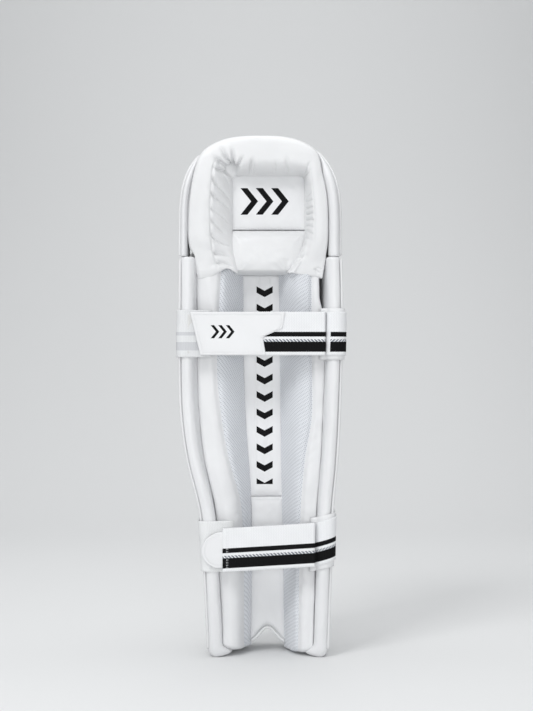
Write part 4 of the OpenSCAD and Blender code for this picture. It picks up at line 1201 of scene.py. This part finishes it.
def make_upper_wing(side):
    word = "left" if side < 0 else "right"
    ts = np.concatenate([[0.0, 0.003, 0.008, 0.016], np.linspace(0.03, 0.975, 100), [0.987, 0.996, 1.0]])
    shape = [(0, 11), (0, 5), (0, -5), (0, -16), (0, -26), (0.0, -33), (0.02, -39), (0.08, -43.5),
             (0.2, -47), (0.35, -48.6), (0.5, -49),
             (0.65, -48.6), (0.8, -47), (0.92, -43.5), (0.98, -39), (1.0, -33), (1, -26), (1, -16), (1, -5),
             (1, 5), (1, 11)]
    # smooth the outline by sampling it more finely
    s = np.array(shape, float)
    d = np.concatenate([[0], np.cumsum(np.hypot(np.diff(s[:, 0]) * 9, np.diff(s[:, 1])))])
    q = np.linspace(0, d[-1], 60)
    fine = np.stack([np.interp(q, d, s[:, 0]), np.interp(q, d, s[:, 1])], 1)
    rings = []
    for t in ts:
        ox, oz = upper_outer(side, t, 1.6)
        ix, iz = upper_inner(side, t)
        o, i = np.array([float(ox), float(oz)]), np.array([float(ix), float(iz)])
        k = 0.6 + 0.4 * math.sqrt(max(0.0, 1 - (1 - min(1.0, (t + 0.002) / 0.016)) ** 2))
        thin = float(smooth(0.45, 1.0, t))
        mid = (o + i) / 2
        row = []
        for f_, y in fine:
            p = mix(o, i, f_)
            p = mid + (p - mid) * k
            yy = y + (1 - k) * 5 if y < -25 else y
            # towards the dome the wing thins out and dives under the horseshoe
            yy = mix(yy, 11 + (yy - 11) * 0.74, thin)
            row.append((p[0], yy, p[1]))
        rings.append(row)
    rings = np.array(rings)
    n = rings.shape[1]
    cen = rings.mean(1, keepdims=True)
    out = rings - cen
    out[..., 1] *= 0.2
    out /= np.maximum(np.linalg.norm(out, axis=2, keepdims=True), 1e-9)
    sI = np.arange(n)[None, :]
    groove = 2.4 * np.exp(-((sI - 20) / 2.0) ** 2)
    h = 0.35 * noise2(sI / 6.0, ts[:, None] * 9, 81 + side) - groove
    rings = rings + out * h[..., None]
    order = rings[:, ::-1] if side > 0 else rings
    v, f = loft(order)
    build(f"knee_wing_{word}", v, f, M_PU, "knee", "pu_cover",
          [f"knee_wing_{word}_cover", f"knee_wing_{word}_core"],
          uv=ring_uv(order, 2), pad=0.8)
    tp = np.linspace(0.008, 0.93, 140)
    x, z = upper_outer(side, tp, 1.3)
    v, f = tube(np.stack([x, mix(-40.0, 11 - 51.0 * 0.74, smooth(0.45, 1.0, tp)), z], 1), 1.5, 10, 0.06, 9)
    build(f"knee_wing_{word}_piping", v, f, M_PIPE, "knee", "piping", [f"knee_wing_{word}_piping"])


make_upper_wing(-1)
make_upper_wing(1)

# ------------------------------------------------------------------ flex groove, seen from the front
ang = np.linspace(173, 7, 80)[None, :]
zg = np.linspace(KNEE_Z - 12, KNEE_Z + 12, 13)[:, None]
front = knee_point(zg, ang, 0.6 + 0.8 * np.cos((zg - KNEE_Z) / 12 * math.pi))
front[..., 0] = shell_x(KNEE_Z) + (front[..., 0] - KNEE_X) * (shell_half(KNEE_Z) / KNEE_HALF) * 1.0
front[..., 0] = np.where(zg > KNEE_Z, mix(front[..., 0], knee_point(zg, ang, 0.3)[..., 0],
                                          smooth(KNEE_Z, KNEE_Z + 8, zg)), front[..., 0])
front[..., 1] = SEAM_Y + (mix(BOARD, KNEE_D,
                              smooth(KNEE_Z - 8, KNEE_Z + 8, zg)) + 1.0) * np.sin(np.radians(ang))
back = front.copy()
back[..., 1] -= 4.0
v, f = plate(front[:, ::-1], back[:, ::-1])
build("flex_band", v, f, M_FRONT, ("shin", "knee", (0, 0.04, 0.428), (0, 0.04, 0.444)), "pu_cover")


# ------------------------------------------------------------------ bands round the wings
def roll_wrap(side, z, a, lift):
    """Point at angle a round a wing's rear roll: 0 straight out, 90 to the rear, 180 inward."""
    cx, cy = roll_centre(side, z)
    a = np.asarray(a, float)
    r = WING_R + 0.7 + 2.4 * np.clip(np.cos(np.radians(np.minimum(a, 90))), 0, 1) + lift
    return cx + side * r * np.cos(np.radians(a)), cy - r * np.sin(np.radians(a))


def wrap_line(side, z, lift, stop, reach=22, n=26):
    ax, ay = roll_wrap(side, z, 0, lift)
    line = [(float(ax), float(ay) + reach * t) for t in (1, 0.66, 0.33)]
    for a in np.linspace(0, stop, n):
        x, y = roll_wrap(side, z, a, lift)
        line.append((float(x), float(y)))
    return line


def band(name, side, z0, z1, stop, lift, thick, mat, body, slot, nodes, tail=(), rows=24, uv_z0=0.0,
         tilt=0.0, scallop=0.0, reach=22, crumple=0.0):
    """A band wrapped round a wing's rear edge; tail is a list of extra (dx, dy) points after the wrap."""
    fr, bk = [], []
    for t in np.linspace(0, 1, rows):
        z = mix(z0, z1, t)
        out = wrap_line(side, z, lift + thick, stop, reach)
        inn = wrap_line(side, z, lift, stop, reach)
        ox, oy = out[-1]
        ixx, iyy = inn[-1]
        for dx, dy in tail:
            out.append((ox + dx, oy + dy))
            inn.append((ixx + dx, iyy + dy))
        x0 = float(roll_centre(side, z)[0]) - side * 7.6
        fr.append([(x, y, z + tilt * (x - x0)) for x, y in out])
        bk.append([(x, y, z + tilt * (x - x0)) for x, y in inn])
    fr, bk = np.array(fr), np.array(bk)
    if crumple:
        crease = noise2(fr[..., 0] / 9 + fr[..., 2] / 14, fr[..., 2] / 30, 77)
        crease = crease + 0.5 * noise2(fr[..., 0] / 4, fr[..., 2] / 9 + fr[..., 1] / 6, 78)
        fr = relief(fr, (1 if side > 0 else -1) * crumple * crease)
    uv = grid_uv(fr)
    uv[:, 1] += uv_z0
    if scallop:
        wave = scallop * np.abs(np.sin(uv[:, 0].reshape(fr.shape[:2]) / 2.4 * math.pi))
        for g in (fr, bk):
            g[0, :, 2] -= wave[0]
            g[-1, :, 2] += wave[-1]
    if side < 0:
        v, f = plate(fr, bk)
        uv2 = np.vstack([uv, uv])
    else:
        v, f = plate(fr[:, ::-1], bk[:, ::-1])
        u = uv.reshape(fr.shape[0], fr.shape[1], 2)[:, ::-1].reshape(-1, 2)
        uv2 = np.vstack([u, u])
    return build(name, v, f, mat, body, slot, nodes, uv=uv2)


def stripe_set(total):
    """Stripe edges in metres above the webbing's lower edge, for a webbing that is total mm wide."""
    k = total / 49 * MM
    return [(3.9 * k, 15.4 * k, "black"), (15.4 * k, 18.2 * k, "dash"), (21.2 * k, 26.6 * k, "black")]


STRAP_W = 49.0
M_WEB = webbing("webbing_striped", stripe_set(STRAP_W))
UP_Z, LO_Z, FALL = 372.0, 132.0, 0.06


def hinge_x(z):
    return float(roll_centre(1, z)[0]) - 7.6


UP_Y = float(wing_rear(UP_Z)) - 2.6
LO_Y = float(wing_rear(LO_Z)) - 4.4

grey = [(8.0, 17.5, (0.62, 0.63, 0.65)), (25.0, 29.0, (0.62, 0.63, 0.65))]
M_LAND_U = webbing("band_upper", [(a * MM, b * MM, c) for a, b, c in grey], (0.78, 0.79, 0.80))
band("upper_landing_band", -1, UP_Z - 27, UP_Z + 27, 90, 0.4, 1.3, M_LAND_U, "wing_left", "elastic",
     ["upper_landing_band"],
     tail=[(5, 0.6), (11, 1.6), (18, 3.2), (24, 4.8), (29, 6.2)], rows=40, crumple=0.5)
band("lower_landing_band", -1, LO_Z - 32, LO_Z + 26, 90, 0.4, 1.3, M_BAND, "wing_left", "elastic",
     ["lower_landing_band"],
     tail=[(5, 0.6), (11, 1.6), (18, 3.2), (24, 4.8), (29, 6.2)], rows=40, crumple=0.7)
lip = [(-2.5, 0.3), (-5, 0.8), (-7, 2.0), (-8, 4.5)]
band("upper_keeper", 1, UP_Z - 30, UP_Z + 29, 150, 0.3, 1.2, M_PU, "wing_right", "elastic", ["upper_keeper"],
     rows=20, tail=lip)
band("lower_keeper", 1, LO_Z - 31, LO_Z + 31, 150, 0.3, 1.2, M_PU, "wing_right", "elastic", ["lower_keeper"],
     rows=20, tilt=0.25,
     tail=lip)
M_ANCHOR = webbing("webbing_anchor", stripe_set(STRAP_W), plain_from=0.0480)
band("upper_strap_anchor", 1, UP_Z - 24.5, UP_Z + 24.5, 152, 1.6, 1.6, M_ANCHOR, "wing_right", "webbing",
     ["upper_strap_anchor"],
     rows=30, scallop=0.5)
band("lower_strap_anchor", 1, LO_Z - 24.5, LO_Z + 24.5, 152, 1.6, 1.6, M_WEB, "wing_right", "webbing",
     ["lower_strap_anchor"],
     rows=30, scallop=0.5, tilt=0.3)


def patch(name, z0, z1, x_from, x_to, y0, y1, mat, body, slot, nodes, n=30):
    xs = np.linspace(x_from, x_to, n)
    zs = np.linspace(z0, z1, 24)
    fr = np.array([[(x, mix(y0, y1, i / (n - 1)), z) for i, x in enumerate(xs)] for z in zs])
    bk = fr.copy()
    bk[..., 1] += 0.9
    v, f = plate(fr, bk)
    build(name, v, f, mat, body, slot, nodes, uv=np.vstack([grid_uv(fr)] * 2))


for nm, zc, hh in (("upper", UP_Z, 44), ("lower", LO_Z - 6, 42)):
    bx, by = (float(q) for q in roll_wrap(-1, zc, 90, 1.9))
    patch(f"{nm}_loop_patch", zc - hh / 2, zc + hh / 2, bx + 1.5, bx + 27, by + 0.1, by + 5.4,
          M_HOOK, "wing_left", "hook_and_loop", [f"{nm}_loop_patch"])


# ------------------------------------------------------------------ straps
def strap_grid(x0, x1, zc, width, fall, hx, y, cols, rows):
    xs = np.linspace(x0, x1, cols)[None, :]
    t = np.linspace(-0.5, 0.5, rows)[:, None]
    z = zc + t * width - fall * (hx - xs)
    bow = 0.5 * noise2(xs / 35, 0.0, 90) + 0.35 * noise2(xs / 15, t * 2, 91)
    yy = y - 0.6 * np.sin(np.pi * (xs - x0) / (x1 - x0)) + 0.35 * bow
    return np.stack(np.broadcast_arrays(xs, yy, z), -1)


def make_webbing(name, x0, zc, fall, hx, y, body, nodes, thick=1.6):
    # past the hinge the webbing turns into the valley beside the wing
    g = strap_grid(x0, hx - 4.6, zc, STRAP_W, fall, hx, y, 150, 30)
    curl = []
    for dx, dy in ((0.5, 0.3), (1.4, 1.2), (1.9, 3.2), (2.1, 6.5)):
        c = g[:, -1:].copy()
        c[..., 0] += dx
        c[..., 1] += dy
        curl.append(c)
    fr = np.concatenate([g] + curl, 1)
    uv = grid_uv(fr).reshape(fr.shape[0], fr.shape[1], 2)
    wave = 0.55 * np.abs(np.sin(uv[0, :, 0] / 2.4 * math.pi))
    fr[0, :, 2] -= wave
    fr[-1, :, 2] += wave
    uv[0, :, 1] = 0.0
    bk = fr.copy()
    bk[:, :-4, 1] += thick
    bk[:, -4:, 0] -= thick * 0.9
    bk[:, -4:, 1] += thick * 0.4
    v, f = plate(fr, bk)
    uvs = np.vstack([uv.reshape(-1, 2)] * 2)
    build(name, v, f, M_WEB, body, "webbing", nodes, uv=uvs)


HU, HL = hinge_x(UP_Z), hinge_x(LO_Z)
make_webbing("upper_strap_webbing", -22, UP_Z, 0.0, HU, UP_Y - 1.6, "upper_strap", ["upper_strap_webbing"])
make_webbing("lower_strap_webbing", -44.3, LO_Z, FALL, HL, LO_Y - 3.6, "lower_strap", ["lower_strap_webbing"])


M_TAB = printed(leather("pu_tab", PU, 0.42, 1.0, 0.4), arrow_motif(-0.043, 0.374, 0.0075, 3))


def outline_plate(name, left, right, zc, width, fall, hx, y, thick, mat, body, slot, nodes, cols=60, seed=95):
    """Flat panel whose left and right ends follow functions of height, v from -1 to 1, with rolled edges."""
    rows = 50
    v = np.linspace(-1, 1, rows)[:, None]
    u = (0.5 - 0.5 * np.cos(np.linspace(0, math.pi, cols)))[None, :]
    x = mix(left(v), right(v), u)
    z = zc + v * width / 2 - fall * (hx - x)
    yy = y + 0.3 * noise2(x / 22, z / 18, seed) - 0.5 * np.sin(np.pi * u)
    rim = np.minimum(np.minimum(u, 1 - u) * np.abs(right(v) - left(v)), (1 - np.abs(v)) * width / 2)
    soft = np.clip(rim / 1.2, 0, 1)
    fr = np.stack([x, yy + (1 - np.sqrt(soft)) * thick * 0.4, z], -1)
    # a shallow sewn groove just inside the edge
    fr[..., 1] += 0.28 * bump(rim, 3.2, 0.7)
    bk = np.stack([x, yy + thick, z], -1)
    vv, f = plate(fr, bk)
    build(name, vv, f, mat, body, slot, nodes, uv=np.vstack([grid_uv(fr)] * 2))
    return x, yy, z


def tab_left(v):
    return mix(-69.5, -81.5, (v + 1) / 2)


def tab_right(v):
    t = (v + 1) / 2
    return np.interp(np.clip(t, 0, 1), [0, 0.42, 0.62, 1.0], [5.0, 1.5, 24.0, 27.0])


outline_plate("upper_strap_tab", tab_left, tab_right, UP_Z, STRAP_W + 0.5, 0, HU, UP_Y - 1.6 - 2.0, 1.7,
              M_TAB,
              "upper_strap", "strap_tab", ["upper_strap_tab"])
outline_plate("lower_strap_tab", lambda v: -68.5 + 24 * (1 - np.sqrt(np.clip(1 - (0.985 * v) ** 2, 0, 1))),
              lambda v: -12.0 + 0 * v,
              LO_Z, STRAP_W - 8, FALL, HL, LO_Y - 1.9, 1.6, M_PU, "lower_strap", "strap_tab",
              ["lower_strap_tab"])
outline_plate("upper_hook_patch", lambda v: -66 - 5 * v, lambda v: -18.0 + 0 * v, UP_Z, STRAP_W - 10, 0, HU,
              UP_Y - 1.4, 1.2, M_HOOK,
              "upper_strap", "hook_and_loop", ["upper_hook_patch"], cols=30)
outline_plate("lower_hook_patch", lambda v: -58 + 8 * v * v, lambda v: -8.0 + 0 * v, LO_Z, STRAP_W - 14,
              FALL, HL, LO_Y - 0.2, 1.0, M_HOOK,
              "lower_strap", "hook_and_loop", ["lower_hook_patch"], cols=30)


def tab_stitching():
    parts = []
    v = np.linspace(-0.9, 0.9, 30)
    z = UP_Z + v * (STRAP_W + 0.5) / 2
    y = UP_Y - 1.6 - 2.25
    parts.append(stitches(np.stack([tab_left(v) + 3.2, np.full(30, y), z], 1), 2.2, 1.2, 0.22))
    for s in (-0.88, 0.88):
        xs = np.linspace(float(tab_left(s)) + 3, float(tab_right(s)) - 3, 40)
        parts.append(stitches(np.stack([xs, np.full(40, y - 0.25),
                                        np.full(40, UP_Z + s * (STRAP_W + 0.5) / 2)], 1), 2.2, 1.2, 0.22))
    t = np.linspace(0.06, 0.94, 30)
    xs = np.interp(t, [0, 0.42, 0.62, 1.0], [5.0, 1.5, 24.0, 27.0]) - 3.0
    parts.append(stitches(np.stack([xs, np.full(30, y), UP_Z + (t - 0.5) * (STRAP_W + 0.5)], 1), 2.2, 1.2,
                          0.22))
    build("upper_tab_stitching", *joined(parts), M_THREAD, "upper_strap", "strap_tab")
    parts = []
    a = np.linspace(100, 260, 50)
    xs = -44 + 21.0 * np.cos(np.radians(a))
    zs = LO_Z + 17.5 * np.sin(np.radians(a)) - FALL * (HL - xs)
    parts.append(stitches(np.stack([xs, np.full(50, LO_Y - 2.4), zs], 1), 2.0, 1.1, 0.2))
    zz = np.linspace(-STRAP_W / 2 + 3, STRAP_W / 2 - 3, 30)
    for dx in (4.5, 6.0):
        xs = np.full(30, -44.3 + dx)
        parts.append(stitches(np.stack([xs, np.full(30, LO_Y - 3.75), LO_Z + zz - FALL * (HL - xs)], 1), 2.0,
                              1.0, 0.22))
    build("lower_tab_stitching", *joined(parts), M_THREAD, "lower_strap", "strap_tab")


tab_stitching()

# ------------------------------------------------------------------ carried-over CAD nodes
for name in ("shin_canes",):
    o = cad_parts[name]
    o.data.materials.clear()
    o.data.materials.append(M_CANE)

# ------------------------------------------------------------------ stage, light and camera
def stage():
    rows = []
    for y, z in [(-6.0, 0.0), (-3.0, 0.0), (0.0, 0.0), (1.1, 0.0)] + [
            (1.1 + 1.4 * math.sin(math.radians(a)),
             1.4 - 1.4 * math.cos(math.radians(a))) for a in range(6, 91, 6)] + [(2.5, 6.0)]:
        rows.append([(-6.0, y, z), (6.0, y, z)])
    g = np.array(rows, float)
    n = len(rows)
    verts = g.reshape(-1, 3).tolist()
    faces = [(2 * i, 2 * i + 1, 2 * i + 3, 2 * i + 2) for i in range(n - 1)]
    me = bpy.data.meshes.new("backdrop")
    me.from_pydata(verts, [], faces)
    me.shade_smooth()
    m, nt, b = new_material("backdrop_paper", (0.60, 0.605, 0.605), 0.95, 0.1)
    net = Net(nt)
    # painted light and shade: paler in the middle and on the floor, darker towards the sides and up the wall,
    # as the lamps' light falls off across the paper sweep
    x, y, z = net.split(net.coords())
    side = net.math("MINIMUM", net.math("MULTIPLY", net.math("MULTIPLY", x, x), 1.1), 1.0)
    floor = net.math("SMOOTH_MIN", net.math("MAXIMUM", net.math("MULTIPLY", z, 1.2), 0.0), 1.0, 0.3)
    tone = net.math("MULTIPLY_ADD", floor, -0.035, 0.77)
    tone = net.math("MULTIPLY_ADD", side, -0.10, tone)
    grey = net.node("ShaderNodeCombineColor")
    for k, tint in enumerate((0.992, 1.0, 1.004)):
        net.link(net.math("MULTIPLY", tone, tint), grey.inputs[k])
    net.link(grey.outputs[0], b.inputs["Base Color"])
    me.materials.append(m)
    o = bpy.data.objects.new("backdrop", me)
    bpy.context.collection.objects.link(o)


def light(name, loc, aim, size, power_w, color=(1, 1, 1), size_y=None):
    d = bpy.data.lights.new(name, "AREA")
    d.energy = power_w
    d.size = size
    if size_y:
        d.shape = "RECTANGLE"
        d.size_y = size_y
    d.color = color
    o = bpy.data.objects.new(name, d)
    bpy.context.collection.objects.link(o)
    o.location = loc
    from mathutils import Vector
    o.rotation_euler = (Vector(aim) - Vector(loc)).to_track_quat("-Z", "Y").to_euler()


stage()
light("key", (-1.15, -1.75, 2.45), (0, 0, 0.3), 0.9, 30)
light("front_fill", (0.2, -2.9, 0.22), (0, 0, 0.1), 1.3, 33)
light("top", (0.1, 0.2, 2.7), (0, 0.1, 0.3), 1.8, 24)
world = bpy.data.worlds.new("World")
bpy.context.scene.world = world
world.use_nodes = True
world.node_tree.nodes["Background"].inputs[0].default_value = (0.97, 0.985, 1.0, 1)
world.node_tree.nodes["Background"].inputs[1].default_value = 0.55

DIST = 1.62
cam = bpy.data.cameras.new("camera")
cam.sensor_fit = "VERTICAL"
cam.sensor_height = 24
cam.lens = 24 * DIST / 0.8127
cam_o = bpy.data.objects.new("camera", cam)
bpy.context.collection.objects.link(cam_o)
cam_o.location = (0.0057, -0.045 - DIST, 0.347)
cam_o.rotation_euler = (math.radians(90), 0, 0)
bpy.context.scene.camera = cam_o
bpy.context.scene.view_settings.view_transform = "Standard"
